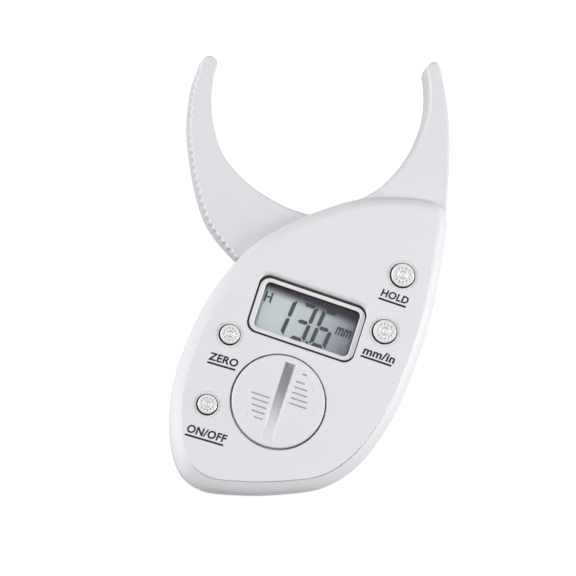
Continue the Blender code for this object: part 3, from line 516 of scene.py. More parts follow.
def flake_group():
    """Metal flakes in lacquer: cells with a random tilt each, as a brightness and a normal direction."""
    tree, given, out, place = group(
        "metal_flakes", {"Flake Size": 0.00015, "Tilt": 0.25, "Contrast": 0.2}, ["Brightness", "Normal"]
    )
    scale = maths(tree, "DIVIDE", 1.0, given["Flake Size"])
    cells = put(tree, "TexVoronoi", {"Vector": place, "Scale": scale}).outputs["Color"]
    tilt = scaled(tree, vectors(tree, "SUBTRACT", cells, (0.5, 0.5, 0.5)), given["Tilt"])
    normal = put(tree, "NewGeometry").outputs["Normal"]
    unit = vectors(tree, "NORMALIZE", vectors(tree, "ADD", normal, tilt))
    level = put(tree, "SeparateColor", {"Color": cells}).outputs[0]
    shift = maths(tree, "MULTIPLY", maths(tree, "SUBTRACT", level, 0.5), given["Contrast"])
    return joined(tree, (maths(tree, "ADD", shift, 1.0), unit), out)


def depth_group():
    """Shade that gathers in gaps: brightness rises smoothly from Dark at one height to 1 at another."""
    tree, given, out, place = group("gap_shade", {"Low": 0.019, "High": 0.021, "Dark": 0.2}, ["Brightness"])
    height = put(tree, "SeparateXYZ", {"Vector": place}).outputs["Z"]
    return joined(tree, [brightening(tree, height, given["Low"], given["High"], given["Dark"])], out)


def window_group():
    """Shade under the frame's upper and right edges, by the place across and up the display.

    Each edge has its direction, and the distances from the middle where the shade is full and gone.
    """
    tree, given, out, place = group("window_shade", {"Dark": 0.06}, ["Brightness"])
    shades = []
    for heading, edge, clear in (((0.06, 1), 7.1, 3.1), ((1, 0), 18.7, 16.5)):
        direction = turned_about(np.array(heading, float), FACE_TURN)
        middle = float(direction @ display)
        reach = reach_along(tree, place, direction)
        shades.append(brightening(tree, reach, (middle + edge) * MM, (middle + clear) * MM, given["Dark"]))
    return joined(tree, [maths(tree, "MULTIPLY", *shades)], out)


GRAIN = grain_group()
FLAKES = flake_group()
GAPS = depth_group()
WINDOW = window_group()
RING_SPACING = 0.00025


def blank(name, values):
    """A new material with these values on its shader. Returns it, its tree and its shader."""
    material = bpy.data.materials.new(name)
    material.use_nodes = True
    shader = material.node_tree.nodes["Principled BSDF"]
    for socket, value in values.items():
        shader.inputs[socket].default_value = value
    return material, material.node_tree, shader


def finish(name, colour, roughness, metallic=0.0, grain=0.0003, depth=0.00002, contrast=0.04):
    """A solid material with grain in its colour, roughness and height. Returns it, its shader and bump."""
    material, tree, shader = blank(name, {"Metallic": metallic})
    sizes = {"Grain Size": grain, "Patch Size": 0.012, "Contrast": contrast}
    texture = put(tree, "Group", sizes, node_tree=GRAIN).outputs
    bump = put(tree, "Bump", {"Strength": 1.0, "Distance": depth, "Height": texture["Height"]})
    tree.links.new(scaled(tree, colour, texture["Brightness"]), shader.inputs["Base Color"])
    tree.links.new(maths(tree, "ADD", texture["Roughness Shift"], roughness), shader.inputs["Roughness"])
    tree.links.new(bump.outputs[0], shader.inputs["Normal"])
    material.diffuse_color = (*colour, 1)
    return material, shader, bump


def shaded(material, effect, values):
    """Scales a material's colour by the brightness that a group gives. Returns the group's outputs."""
    tree = material.node_tree
    colour = tree.nodes["Principled BSDF"].inputs["Base Color"]
    given = put(tree, "Group", values, node_tree=effect).outputs
    tree.links.new(scaled(tree, colour.links[0].from_socket, given["Brightness"]), colour)
    return given


def flaked(name, colour, roughness, metallic, flakes, gaps=None, **grain):
    """Moulded plastic with metal flakes in its colour and normal, and shade in its gaps if asked."""
    material, shader, bump = finish(name, colour, roughness, metallic, **grain)
    given = shaded(material, FLAKES, dict(zip(("Flake Size", "Tilt", "Contrast"), flakes)))
    material.node_tree.links.new(given["Normal"], bump.inputs["Normal"])
    if gaps:
        shaded(material, GAPS, dict(zip(("Low", "High", "Dark"), gaps)))
    return material


def pearl(name, colour, gaps=None, roughness=0.48, metallic=0.0):
    """Silver-white plastic with fine pearl flakes."""
    return flaked(name, colour, roughness, metallic, (0.00012, 0.10, 0.06), gaps, depth=0.000006)


def glitter(name, colour, gaps):
    """Clear-coated silver plastic full of coarse flakes, for the keys."""
    material = flaked(name, colour, 0.34, 0.25, (0.00030, 0.14, 0.14), gaps, grain=0.0004, contrast=0.10)
    shader = material.node_tree.nodes["Principled BSDF"]
    shader.inputs["Coat Weight"].default_value = 0.3
    shader.inputs["Coat Roughness"].default_value = 0.15
    return material


def centred_on(tree, middle):
    """The place on the object, measured from a middle in plan."""
    shift = (-middle[0] * MM, -middle[1] * MM, 0)
    return put(tree, "Mapping", {"Vector": place_on(tree), "Location": shift}).outputs[0]


def turned_metal(name, colour, roughness, middle):
    """Metal with fine rings round an upright axis, as from a lathe or a press."""
    material, _, bump = finish(name, colour, roughness, 1.0, depth=0.000008, contrast=0.06)
    tree = material.node_tree
    values = {"Scale": 0.3 / RING_SPACING / FULL_TURN, "Distortion": 0.6, "Detail": 2.0}
    values["Vector"] = centred_on(tree, middle)
    rings = put(tree, "TexWave", values, wave_type="RINGS", rings_direction="Z").outputs["Fac"]
    relief = put(tree, "Bump", {"Strength": 0.6, "Distance": 0.000006, "Height": rings})
    tree.links.new(relief.outputs[0], bump.inputs["Normal"])
    return material


def clear_where(tree, share, tint=(1, 1, 1, 1)):
    """Mixes the material's shader with a clear one by this share."""
    clear = put(tree, "BsdfTransparent", {"Color": tint}).outputs[0]
    solid = tree.nodes["Principled BSDF"].outputs[0]
    mix = put(tree, "MixShader", {0: share, 1: solid, 2: clear})
    tree.links.new(mix.outputs[0], tree.nodes["Material Output"].inputs["Surface"])


def pane_glass():
    """The clear pane. Shadow rays pass it, so that the display under it is lit."""
    tint = (0.97, 0.97, 0.98, 1)
    values = {"Base Color": tint, "IOR": 1.45, "Transmission Weight": 1.0}
    material, tree, shader = blank("pane_glass", values)
    smear = put(tree, "TexNoise", {"Vector": place_on(tree), "Scale": 60.0, "Detail": 4.0})
    haze = put(tree, "MapRange", {"Value": smear.outputs["Fac"], "To Min": 0.0, "To Max": 0.03})
    tree.links.new(haze.outputs[0], shader.inputs["Roughness"])
    clear_where(tree, put(tree, "LightPath").outputs["Is Shadow Ray"], tint)
    return material


def display_ground():
    """The liquid crystal's grey-green ground, darker and bluer to the lower right, with painted shade under
    the frame's edge.
    """
    material, shader, _ = finish("display_ground", (0.5, 0.55, 0.53), 0.32, grain=0.0002, contrast=0.03)
    tree = material.node_tree
    across = reach_along(tree, centred_on(tree, display), (0.8, -0.6))
    share = put(tree, "MapRange", {"Value": across, "From Min": -0.012, "From Max": 0.017})
    ramp = put(tree, "ValToRGB", {"Fac": share.outputs[0]})
    stops = ramp.color_ramp.elements
    stops[0].color, stops[1].color = (0.40, 0.44, 0.44, 1), (0.18, 0.20, 0.23, 1)
    stops.new(0.45).color = (0.34, 0.38, 0.375, 1)
    base = shader.inputs["Base Color"]
    tree.links.new(ramp.outputs["Color"], base.links[0].from_node.inputs[0])
    shader.inputs["Specular IOR Level"].default_value = 0.2
    light = put(tree, "Group", {"Dark": 0.0}, node_tree=WINDOW).outputs["Brightness"]
    colours = {0: light, 6: (0.028, 0.024, 0.036, 1), 7: base.links[0].from_socket}
    tree.links.new(put(tree, "Mix", colours, data_type="RGBA").outputs[2], base)
    return material


def laminate():
    """Solder mask over copper: green, with lighter tracks along two directions."""
    material, shader, _ = finish("board_laminate", (0.03, 0.2, 0.09), 0.4, grain=0.0004, contrast=0.2)
    tree = material.node_tree
    tracks = put(tree, "TexBrick", {
        "Vector": place_on(tree), "Color1": (0.02, 0.15, 0.06, 1), "Color2": (0.03, 0.20, 0.09, 1),
        "Mortar": (0.06, 0.30, 0.14, 1), "Scale": 60.0, "Mortar Size": 0.03, "Brick Width": 0.9,
        "Row Height": 0.12,
    })
    tree.links.new(tracks.outputs["Color"], shader.inputs["Base Color"].links[0].from_node.inputs[0])
    return material


COVER = pearl("cover_pearl", (0.785, 0.78, 0.81))
# Painted shade: the door darkens with depth, in its coin slot and grip lines and down its side.
DOOR = pearl("door_pearl", (0.785, 0.78, 0.81), (0.0186, 0.0213, 0.12))
# Painted shade: the rear cover and fixed jaw darken down their walls.
REAR = pearl("rear_pearl", (0.755, 0.745, 0.775), (0.0128, 0.0138, 0.84))
# Painted shade: the arm darkens down its walls.
ARM = pearl("arm_pearl", (0.755, 0.745, 0.78), (0.0128, 0.0139, 0.80))
# Painted shade: near black low on the frame, in the groove round it and down its inner wall.
FRAME = pearl("frame_pearl_painted_shade", (0.82, 0.805, 0.815), (0.0192, 0.0196, 0.05), 0.35, 0.05)
# Painted shade: the keys darken down their sides and where their tops dip.
KEYS = glitter("key_glitter", (0.88, 0.88, 0.89), (0.0207, 0.02135, 0.10))
INK = finish("label_ink", (0.012, 0.012, 0.014), 0.5, grain=0.0001, depth=0.000004, contrast=0.1)[0]
SEGMENT = finish("segment_ink", (0.030, 0.028, 0.040), 0.45, grain=0.0002, contrast=0.05)[0]
# Painted shade: the digits darken under the frame's edge, as the ground does.
shaded(SEGMENT, WINDOW, {"Dark": 0.3})
BLACK_PLASTIC = finish("black_plastic", (0.03, 0.03, 0.035), 0.5, grain=0.0002, contrast=0.2)[0]
BLACK_RUBBER = finish("black_rubber", (0.02, 0.02, 0.02), 0.75, grain=0.0002, contrast=0.3)[0]
GREY_RUBBER = finish("grey_rubber", (0.25, 0.25, 0.27), 0.7, grain=0.0002, contrast=0.2)[0]


# Covers

housing = even(spline(shares(HOUSING), 24, closed=True), OUTLINE_POINTS)
housing_inward = inward(housing, blur=3.0)
RIM_INSET = 0.12
WALL = 2.0
CEILING_INSET = 5.15
FLOOR_INSET = 3.6
SLOT_TURNS = (56.6, 194.5)
REACH = 2.5
GROOVE_START = (0.42, 0.42)
GROOVE_KEEL = (0.18, 0.85)


def inset(distance):
    """The housing's outline moved inwards: by one distance, by one a row, or by one for each point."""
    return housing + housing_inward * np.asarray(distance)[..., None]


def walls(profile):
    """Places of the housing's outline at each inset and height of a profile."""
    profile = np.asarray(profile, float)
    return lifted(inset(profile[:, :1]), profile[:, 1:])


def front_profile(rows):
    """The front cover from rim to face, as insets and heights of rows by columns.

    Each column is a cubic Bezier curve. It leaves the rim upright and meets the face at the crease's
    angle, which is steep round the lower part of the cover and dies away towards the jaws. A fine V
    groove follows the crease along the cover's lower end: it starts at one distance outside the crease
    and below it, and has its keel at another.
    """
    crisp = ease((12 - housing[:, 1]) / 34)
    angle = np.radians(4 + 27 * crisp)
    t = np.linspace(0, 1, rows)[:, None]
    weights = [3 * (1 - t) ** 2 * t, 3 * (1 - t) * t**2, t**3]
    width = 5.0 - 0.8 * crisp
    groove = crisp * ease((housing_inward[:, 1] - 0.35) / 0.5)
    start = width - GROOVE_START[0]
    level = FACE - RIM - GROOVE_START[1] * groove
    across = weights[1] * (start - REACH * np.cos(angle)) + weights[2] * start
    up = weights[0] * 2.6 + weights[1] * (level - REACH * np.sin(angle)) + weights[2] * level
    across = np.concatenate([across, [width - GROOVE_KEEL[0]], [width]])
    up = np.concatenate([up, [FACE - RIM - GROOVE_KEEL[1] * groove], [width * 0 + FACE - RIM]])
    return across, RIM + up


def opening(surface, loop, profile):
    """The edge of an opening in the face, and its wall down to the inside. Returns the face's loop.

    The profile is rows of distances outwards from the loop and of levels under the face, each one
    number or a number for every point.
    """
    rows = [loop - np.reshape(distance, (-1, 1)) * inward(loop) for distance, _ in profile]
    heights = [FACE - np.broadcast_to(level, len(loop)) for _, level in profile]
    wall_end = np.full(len(loop), FACE_INSIDE)
    surface.loft(np.array([*rows, loop]), np.array([*heights, wall_end]))
    return rows[0]


def rounded_edge(width):
    """An opening's profile with a curved edge of this width, one number or one for every point."""
    return [((1 - t) ** 1.3 * width, 1.25 * t**1.5 * width) for t in np.linspace(0, 1, FILLET_STEPS)]


def front_shell():
    """The front cover: its crowned outside, the room inside, and the openings, well and bosses."""
    surface = Surface()
    across, up = front_profile(14)
    first = np.full((1, OUTLINE_POINTS), RIM_INSET)
    up = np.concatenate([first * 0 + RIM, up + np.linspace(0.15, 0, len(up))[:, None]])
    surface.loft(inset(np.concatenate([first, across])), up)
    surface.loft(inset([[RIM_INSET], [WALL]]), [RIM, RIM])
    room = softened([(WALL, RIM), (2.1, 17.4), (CEILING_INSET, FACE_INSIDE)], [0, 1.3, 0])
    surface.add(walls(room), grid(len(room), OUTLINE_POINTS))
    window = rounded_box(40.85, 21.9, 4.0, steps=12)
    edge = 0.15 + 1.2 * ease((window[:, 1] - 7.5) / 3.2) + 0.4 * ease((-window[:, 1] - 8.0) / 2.9)
    openings = [(on_face(window + WINDOW_SHIFT), rounded_edge(edge))]
    for name, radius in BUTTONS.items():
        openings.append((circle(buttons[name] + GAP_SHIFT, radius + KEY_GAP / 2, 64), KEY_RING))
    face_loops, ceiling_loops = [inset(across[-1])], [inset(CEILING_INSET)]
    for loop, profile in openings:
        face_loops.append(opening(surface, loop, profile))
        ceiling_loops.append(loop)
    surface.fill([*face_loops, battery_well(surface)], FACE)
    surface.fill([*ceiling_loops, circle(door, CUP_RADIUS)], FACE_INSIDE)
    bosses = Surface()
    for place in case_screws:
        boss(bosses, place, 3.1, 1.15, 9.8)
    for place in board_screws:
        boss(bosses, place, 2.4, 0.75, ON_BOARD)
    dressed("front_shell", combined(surface, ("UNION", bosses)), "housing", "cover_plastic", COVER,
            "front_cover")


def boss(surface, place, radius, bore, bottom):
    """A round post that hangs from the face, with a blind hole for a screw."""
    root = FACE_INSIDE + 0.9
    profile = [(0, root), (radius, root), (radius, bottom), (bore, bottom), (bore, FACE_INSIDE - 0.1)]
    profile = softened([*profile, (0, FACE_INSIDE - 0.1)], [0, 0, 0.3, 0.2, 0, 0], steps=4)
    surface.turn(profile, place, 32)


CUP_RADIUS = 18.8
WELL = [
    (16.15, 18.6), (16.15, 17.65), (15.45, 17.65), (15.45, 18.6), (13.2, 18.6), (13.2, 18.0),
    (14.6, 18.0), (14.6, 16.6), (10.5, 16.6), (10.5, 14.1), (0, 14.1),
]
CUP = [(0, 13.2), (16.4, 13.2), (16.4, 17.2), (CUP_RADIUS, 17.2), (CUP_RADIUS, FACE_INSIDE)]
LEDGE_NOTCH = 14.45


def battery_well(surface):
    """The door's recess, the ledge that its lugs lock under, the seal's groove, and the cell's pocket.

    A profile of radius and height turned about the door's axis. The ledge is cut back to the lugs'
    reach in two notches, and the recess is a circle shifted a little, so their radii also depend on
    the direction. Returns the recess's loop in the face.
    """
    lip = softened([(17.7, FACE), (17.55, FACE), (17.55, 18.6)], [0, 0.15, 0])
    profile = np.concatenate([lip, WELL])
    radii = np.repeat(profile[:, :1], ROUND, axis=1)
    ledge = slice(len(lip) + 4, len(lip) + 6)
    radii[ledge] = np.where(near((55, 235), 15), LEDGE_NOTCH, radii[ledge])
    heading = rays(steps_round())
    reach = heading @ GAP_SHIFT
    radii[: len(lip)] = reach + np.sqrt(reach**2 - GAP_SHIFT @ GAP_SHIFT + radii[: len(lip)] ** 2)
    surface.turn(profile, door, radii=radii)
    surface.turn(softened(CUP, [0, 0.4, 0.5, 0.4, 0]), door)
    return door + radii[0][:, None] * heading


def fixed_jaw():
    """The fixed jaw as a slab with a chamfered front rim, rooted in the rear cover's wall.

    Towards the back its inner wall leans out into the throat, by nothing at the tip and root.
    """
    outer = spline(shares(JAW_OUTER), 12)
    tip = spline(shares([JAW_OUTER[-1], *JAW_TIP, JAW_INNER[0]]), 8)[1:-1]
    inner = spline(shares(JAW_INNER), 12)
    outline = np.concatenate([outer, tip, inner, shares(JAW_ROOT)])
    under, edge, bottom = 0.5, 0.8, 2.5
    rise = [(under, bottom), (0, bottom), (0, ARM_TOP - edge), (edge, ARM_TOP)]
    profile = softened(rise, [0, under, 0.12, 0])
    share = np.linspace(0, 1, len(inner))
    lean = np.zeros(len(outline))
    lean[len(outer) + len(tip) :][: len(inner)] = JAW_LEAN * ease(share / 0.06) * ease((1 - share) / 0.5)
    points = even(np.column_stack([outline, lean]), 400)
    outline, lean = points[:, :2], points[:, 2]
    low = (ARM_TOP - profile[:, 1:]) / (ARM_TOP - bottom)
    rows = outline + (profile[:, :1] - low * lean)[..., None] * inward(outline, blur=2.0)
    return Surface().slab(rows, profile[:, 1])


def rear_shell():
    """The rear cover: floor, drafted wall and the slot for the arm, with the fixed jaw in one piece.

    The wall is a grid of columns round the outline. Between the slot's two directions from the pivot
    it stops at the seat's height, and elsewhere it goes on up to the rim.
    """
    surface = Surface()
    heading = np.degrees(np.arctan2(housing[:, 1] - pivot[1], housing[:, 0] - pivot[0])) % 360
    slot = (heading > SLOT_TURNS[0]) & (heading < SLOT_TURNS[1])
    keep = ~(slot & np.roll(slot, -1))
    lower = softened([(FLOOR_INSET, 0), (1.38, 2.0), (1.13, SEAT)], [0, 1.2, 0])
    upper = np.array([(1.13, SEAT), (0.10, 14.3), (0.0, 14.5), (RIM_INSET, REAR_RIM)])
    inner = np.array([(FLOOR_INSET, FLOOR), (3.3, SEAT), (WALL, REAR_RIM)])
    for profile in (lower, inner[:2]):
        surface.add(walls(profile), grid(len(profile), OUTLINE_POINTS))
    for profile in (upper, inner[1:]):
        faces = grid(len(profile), OUTLINE_POINTS).reshape(-1, OUTLINE_POINTS, 4)[:, keep]
        surface.add(walls(profile), faces.reshape(-1, 4))
    for row, chosen in ((-1, keep), (0, ~keep)):
        surface.add(walls([upper[row], inner[1:][row]]), grid(2, OUTLINE_POINTS)[chosen])
    ends = np.concatenate([walls(upper), walls(inner[:0:-1])])
    for column in np.flatnonzero(keep != np.roll(keep, 1)):
        surface.add(ends[:, column], np.array([[0, 1, 2], [0, 2, 5], [2, 3, 4], [2, 4, 5]]))
    post = [(5.0, FLOOR), (5.0, SEAT), (2.2, SEAT), (2.2, 12.3), (1.15, 12.3), (1.15, 3.8), (0, 3.8)]
    surface.turn(softened(post, [0, 0.2, 0, 0.2, 0.1, 0, 0]), pivot, 48)
    surface.fill([inset(FLOOR_INSET)], 0)
    surface.fill([inset(FLOOR_INSET), circle(pivot, 5.0, 48)], FLOOR)
    posts, bores = Surface(), Surface()
    screw_post = softened([(0, 1.0), (3.4, 1.0), (3.4, 9.5), (0, 9.5)], [0, 0, 0.3, 0])
    bore = [
        (0, -0.5), (2.9, -0.5), (2.9, 0), (2.6, 0.3), (2.6, 3.5), (1.3, 3.5), (1.3, 9.3), (1.5, 9.6), (0, 9.6)
    ]
    for place in case_screws:
        posts.turn(screw_post, place, 48)
        bores.turn(bore, place, 48)
    mesh = combined(surface, ("UNION", fixed_jaw()), ("UNION", posts), ("DIFFERENCE", bores))
    dressed("rear_shell", mesh, "housing", "cover_plastic", REAR, "rear_cover")


# Moving arm

TOOTH_PITCH = 2.74
TOOTH_DEPTH = 0.8
TOOTH_STEPS = 12
GRIP_MARGIN = 1.2


def notch_depths(curve):
    """Even points along the arm's outer curve, and how far a softened triangle wave cuts each one in."""
    reach = lengths(curve)
    room = reach[-1] - 2 * GRIP_MARGIN
    teeth = round(room / TOOTH_PITCH)
    phase = np.linspace(0, teeth, teeth * TOOTH_STEPS + 1)
    here = np.stack([np.interp(GRIP_MARGIN + room * phase / teeth, reach, side) for side in curve.T], axis=1)
    wave = np.arcsin(0.97 * np.sin(FULL_TURN * (phase - 0.25))) / math.pi
    cuts = TOOTH_DEPTH * (0.5 - wave) * ease(phase * 2) * ease((teeth - phase) * 2)
    return np.concatenate([curve[:1], here, curve[-1:]]), np.concatenate([[0], cuts, [0]])


def blade_outline():
    """The arm's plan, anticlockwise: inner edge up, round the tip, outer edge down, root and hub side.

    The second array says how deep the thumb grip is cut in at each point.
    """
    arc = shares(ARM_TIP) + ARM_TIP_RADIUS * rays(np.linspace(*ARM_TIP_TURNS, 25))
    inner = spline(np.concatenate([arc[:1], shares(ARM_INNER)]), 12)
    outer = spline(np.concatenate([shares(ARM_OUTER), arc[-1:]]), 12)
    grip, cuts = notch_depths(outer)
    tail = [shares(ARM_ROOT)[::-1], shares(ARM_HUB_SIDE)[::-1]]
    outline = np.concatenate([inner[::-1], arc[1:-1], grip[::-1], *tail])
    depths = np.zeros(len(outline))
    first = len(inner) + len(arc) - 2
    depths[first : first + len(grip)] = cuts[::-1]
    return outline, depths


def drum(radius, bottom, top, count=ROUND):
    """A closed round block about the pivot, for Booleans."""
    return Surface().turn([(0, bottom), (radius, bottom), (radius, top), (0, top)], pivot, count)


def swing_arm():
    """The moving jaw: the blade, let down round the pivot to its hub, with a ring sunk in its tip.

    The wall is rows of the outline at rising heights. The grip's notches grow from nothing at mid
    height to their full depth at the front edge, and a chamfer follows them there.
    """
    outline, depths = blade_outline()
    tip = shares(ARM_TIP)
    edge, grown_from, grown_at = 0.55, 8.0, ARM_TOP - 1.2
    lower = softened([(edge, ARM_BOTTOM), (0, ARM_BOTTOM), (0, grown_from)], [0, edge, 0])
    upper = np.stack([np.zeros(12), np.linspace(8.5, ARM_TOP - edge, 12)], axis=1)
    profile = np.concatenate([lower, upper, [(edge * 0.15, ARM_TOP - edge * 0.85), (edge, ARM_TOP)]])
    grown = ease((profile[:, 1:] - grown_from) / (grown_at - grown_from))
    rows = outline + (profile[:, :1] + grown * depths)[..., None] * inward(outline, blur=3.0)
    surface = Surface().loft(rows, profile[:, 1])
    ring = np.array([(1.55, 0), (1.35, -0.16), (1.15, 0), (0.42, 0), (0.25, -0.2), (0, -0.2)])
    surface.turn(softened(ring + (0, ARM_TOP), [0, 0.1, 0, 0, 0.1, 0], steps=4), tip, 48)
    surface.fill([rows[-1], circle(tip, 1.55, 48)], ARM_TOP)
    surface.fill([rows[0]], ARM_BOTTOM)
    relief, hub, bore = drum(9.9, 12.0, 15.5), drum(10.5, ARM_BOTTOM, 12.0), drum(3.3, 3.5, 13.0, 48)
    mesh = combined(surface, ("DIFFERENCE", relief), ("UNION", hub), ("DIFFERENCE", bore))
    dressed("swing_arm", mesh, "arm", "arm_plastic", ARM, "moving_arm")


# Display

FRAME_SHIFT = np.array([0.13, -0.1])
FRAME_PROFILE = [
    (21.05, 11.7, 17.6), (21.05, 11.7, 18.7), (19.85, 10.06, 18.75), (19.85, 10.06, 19.55),
    (19.6, 9.86, 19.72), (18.50, 9.05, 19.80), (18.40, 8.98, 19.98), (18.10, 8.74, 20.0),
    (17.92, 8.6, 19.8), (17.92, 8.6, 18.7), (18.25, 8.85, 18.7), (18.25, 8.85, 17.6),
]
FRAME_BENDS = [0, 0.1, 0, 0.1, 0.1, 0.03, 0.05, 0.1, 0.1, 0, 0, 0]


def display_frame():
    """The frame round the window: a closed profile carried round a rounded rectangle.

    Each profile point is half a width, half a height and a level. The corner radius shrinks with the
    inset, so the edges stay parallel. The frame's face rises in a step to a ridge round the window.
    """
    profile = softened(FRAME_PROFILE, FRAME_BENDS, closed=True, steps=5)
    rows = [rounded_box(2 * wide, 2 * tall, max(wide - 16.1, 1.6)) for wide, tall in profile[:, :2]]
    surface = Surface().loft(on_face(np.array(rows) + FRAME_SHIFT), profile[:, 2], along=True)
    dressed("display_frame", surface, "housing", "bezel_plastic", FRAME, "lcd_bezel", below=math.radians(25))


def window_pane():
    """The clear pane that sits in the frame's rebate."""
    outline = on_face(rounded_box(36.3, 17.5, 1.6) + FRAME_SHIFT)
    pane = Surface().prism(outline, 17.8, 18.6, edge=0.08)
    dressed("window_pane", pane, "housing", "clear_pane", pane_glass(), "display_window")


DIGIT_TOP = 6.0
DIGIT_MIDDLE = -1.2
DIGIT_BOTTOM = -8.35
DIGIT_WIDTH = 4.8
STROKE = 1.45
SEGMENT_GAP = 0.14
SLANT = 0.10
DIGITS = ((-6.25, "bc"), (1.7, "abcdg"), (9.65, "acdefg"))
DIGIT_LEVELS = (GLASS_TOP + 0.02, GLASS_TOP + 0.06)
LETTER_SLANT = 0.12
LETTER_SPACE = 1.06
LETTER_BOLD = 0.034


def segments(right):
    """The seven segments of a digit whose right-hand strokes stand at this place, as outlines."""
    left, h, gap = right - DIGIT_WIDTH, STROKE / 2, SEGMENT_GAP
    top, middle, bottom = DIGIT_TOP, DIGIT_MIDDLE, DIGIT_BOTTOM
    stretch = (middle - bottom) / (top - middle)
    upper = [(h, top - gap - h * 0.4), (h, middle + h * 0.9), (0, middle + gap), (-h, middle + h * 1.2),
             (-h, top - 2 * h - gap)]
    lower = [(x, middle - (y - middle) * stretch) for x, y in upper]
    flat = [(left + gap, top), (right - gap, top), (right - h - gap, top - 1.9 * h),
            (left + h + gap, top - 1.9 * h)]
    lens = [(left + h * 0.5, middle), (left + 1.7 * h, middle + h), (right - 1.8 * h, middle + h),
            (right - h * 0.8, middle), (right - 1.8 * h, middle - h), (left + 1.7 * h, middle - h)]
    return {
        "a": flat,
        "b": [(right + x, y) for x, y in upper],
        "c": [(right + x, y) for x, y in lower],
        "d": [(x, middle + (middle - y) * stretch) for x, y in flat],
        "e": [(left - x, y) for x, y in lower],
        "f": [(left - x, y) for x, y in upper],
        "g": lens,
    }


def slanted(points):
    """Places across and up the display, leaned over to the right in step with their height."""
    points = np.array(points, float)
    points[:, 0] += SLANT * (points[:, 1] - DIGIT_MIDDLE)
    return points


def counter_clockwise(points):
    """The outline, turned round if it runs clockwise."""
    x, y = points.T
    return points if np.sum(x * np.roll(y, -1) - y * np.roll(x, -1)) > 0 else points[::-1]


def box(left, low, right, high):
    """A rectangle's corners across and up the display."""
    return np.array([(left, low), (right, low), (right, high), (left, high)], float)


def plates(surface, outlines, levels_of_plate):
    """Adds thin slabs over outlines across and up the display."""
    for outline in outlines:
        surface.prism(counter_clockwise(on_face(outline)), *levels_of_plate)


def letters(words, bold):
    """A word as mesh places from 0 to 1 along each axis, and its faces."""
    curve = bpy.data.curves.new(words, "FONT")
    curve.body, curve.offset, curve.space_character = words, bold, LETTER_SPACE
    curve.extrude, curve.resolution_u = 0.5, 4
    mesh = baked(linked(words, curve))
    places = column(mesh.vertices, "co", np.float32, 3).reshape(-1, 3).astype(float)
    faces = [list(face.vertices) for face in mesh.polygons]
    bpy.data.meshes.remove(mesh)
    return (places - places.min(axis=0)) / (places.max(axis=0) - places.min(axis=0)), faces


def written(surface, words, corner, size, levels_of_word, turn=0.0, bold=LETTER_BOLD):
    """Adds a word fitted into a box across and up the display, turned about its lower left corner."""
    (width, height), (bottom, top) = size, levels_of_word
    places, faces = letters(words, bold)
    up = places[:, 1] * height
    across = places[:, 0] * (width - LETTER_SLANT * height) + LETTER_SLANT * up
    flat = turned_about(np.stack([across, up], axis=1), turn) + corner
    places = lifted(on_face(flat), bottom + places[:, 2] * (top - bottom))
    for sides in sorted({len(face) for face in faces}):
        surface.add(places, np.array([face for face in faces if len(face) == sides]))


def display_digits():
    """What the display shows: 13.6, its unit, and the hold sign."""
    surface = Surface()
    for right, shown in DIGITS:
        outlines = segments(right)
        plates(surface, [slanted(outlines[name]) for name in shown], DIGIT_LEVELS)
    hold_sign = [box(-16.75, 1.6, -16.05, 5.4), box(-14.7, 1.6, -14.0, 5.4), box(-16.2, 3.25, -14.5, 3.85)]
    plates(surface, [circle((2.75, -7.75), 0.5, 24), *hold_sign], DIGIT_LEVELS)
    written(surface, "mm", (11.3, -1.65), (6.0, 3.1), DIGIT_LEVELS, bold=0.035)
    dressed("display_digits", surface, "housing", "black_plastic", SEGMENT, below=0)


# Each label's word, lower left corner, size and turn in degrees, and its line's left end and length
LABELS = [
    ("HOLD", (22.55, 16.45), (10.5, 2.85), 0.0, (22.2, 15.45), 10.4),
    ("mm/in", (22.7, -5.75), (12.3, 3.2), 0.0, (22.4, -6.6), 11.7),
    ("ZERO", (-29.6, -25.75), (11.2, 3.0), 2.5, (-29.5, -26.7), 10.55),
    ("ON/OFF", (-29.1, -53.25), (15.0, 3.1), 2.3, (-29.1, -54.2), 14.35),
]
LINE_HALF = 0.37
INK_LEVELS = (FACE - 0.02, FACE + 0.02)


def function_labels():
    """The printed words beside the keys, each over its line."""
    surface = Surface()
    for words, corner, size, turn, start, length in LABELS:
        turn = math.radians(turn)
        written(surface, words, corner, size, INK_LEVELS, turn)
        plates(surface, [turned_about(box(0, -LINE_HALF, length, LINE_HALF), turn) + start], INK_LEVELS)
    dressed("function_labels", surface, "housing", "black_plastic", INK, below=0)


# Keys

KEY_STEPS = 144
KEY_RIBS = 12


def key_cap(name, radius):
    """A key: a crowned disc on a wide foot, with a ring of short ribs and a dome at the middle.

    Turned profile rows, whose heights on top fall by a bump that repeats round the key, and by a dome
    and a ditch of the distance from the middle.
    """
    bottom, top = levels(f"{name}_button")
    radius -= KEY_GAP / 2
    crown, inside = top - 0.12, radius - 0.42
    side = softened(
        [(0, bottom), (radius + 1.1, bottom), (radius + 1.1, 18.7), (radius, 18.7), (radius, crown),
         (inside, crown)],
        [0, 0.15, 0.15, 0, 0.34, 0],
        steps=5,
    )
    flat = np.linspace(inside, 0, 34)[1:]
    rows = np.concatenate([side, np.stack([flat, np.full(len(flat), crown)], axis=1)])
    r = rows[:, :1]
    turns = steps_round(KEY_STEPS)
    on_top = (r < inside - 0.01) & (rows[:, 1:] > 20)
    ribs = np.exp(-(((r - radius * 0.64) / (radius * 0.11)) ** 2)) * np.maximum(np.cos(KEY_RIBS * turns), 0)
    dome = np.exp(-((r / (radius * 0.10)) ** 2))
    ditch = np.exp(-(((r - radius * 0.30) / 0.25) ** 2))
    heights = rows[:, 1:] - np.where(on_top, 0.42 * ribs + 0.30 * dome + 0.32 * ditch, 0)
    surface = Surface().loft(r[..., None] * rays(turns) + buttons[name], heights)
    dressed(f"{name}_key_cap", surface, f"{name}_key", "button_plastic", KEYS, f"{name}_button",
            below=math.radians(50))


# Battery door. Each grip is a level along the slot and how far its line reaches across

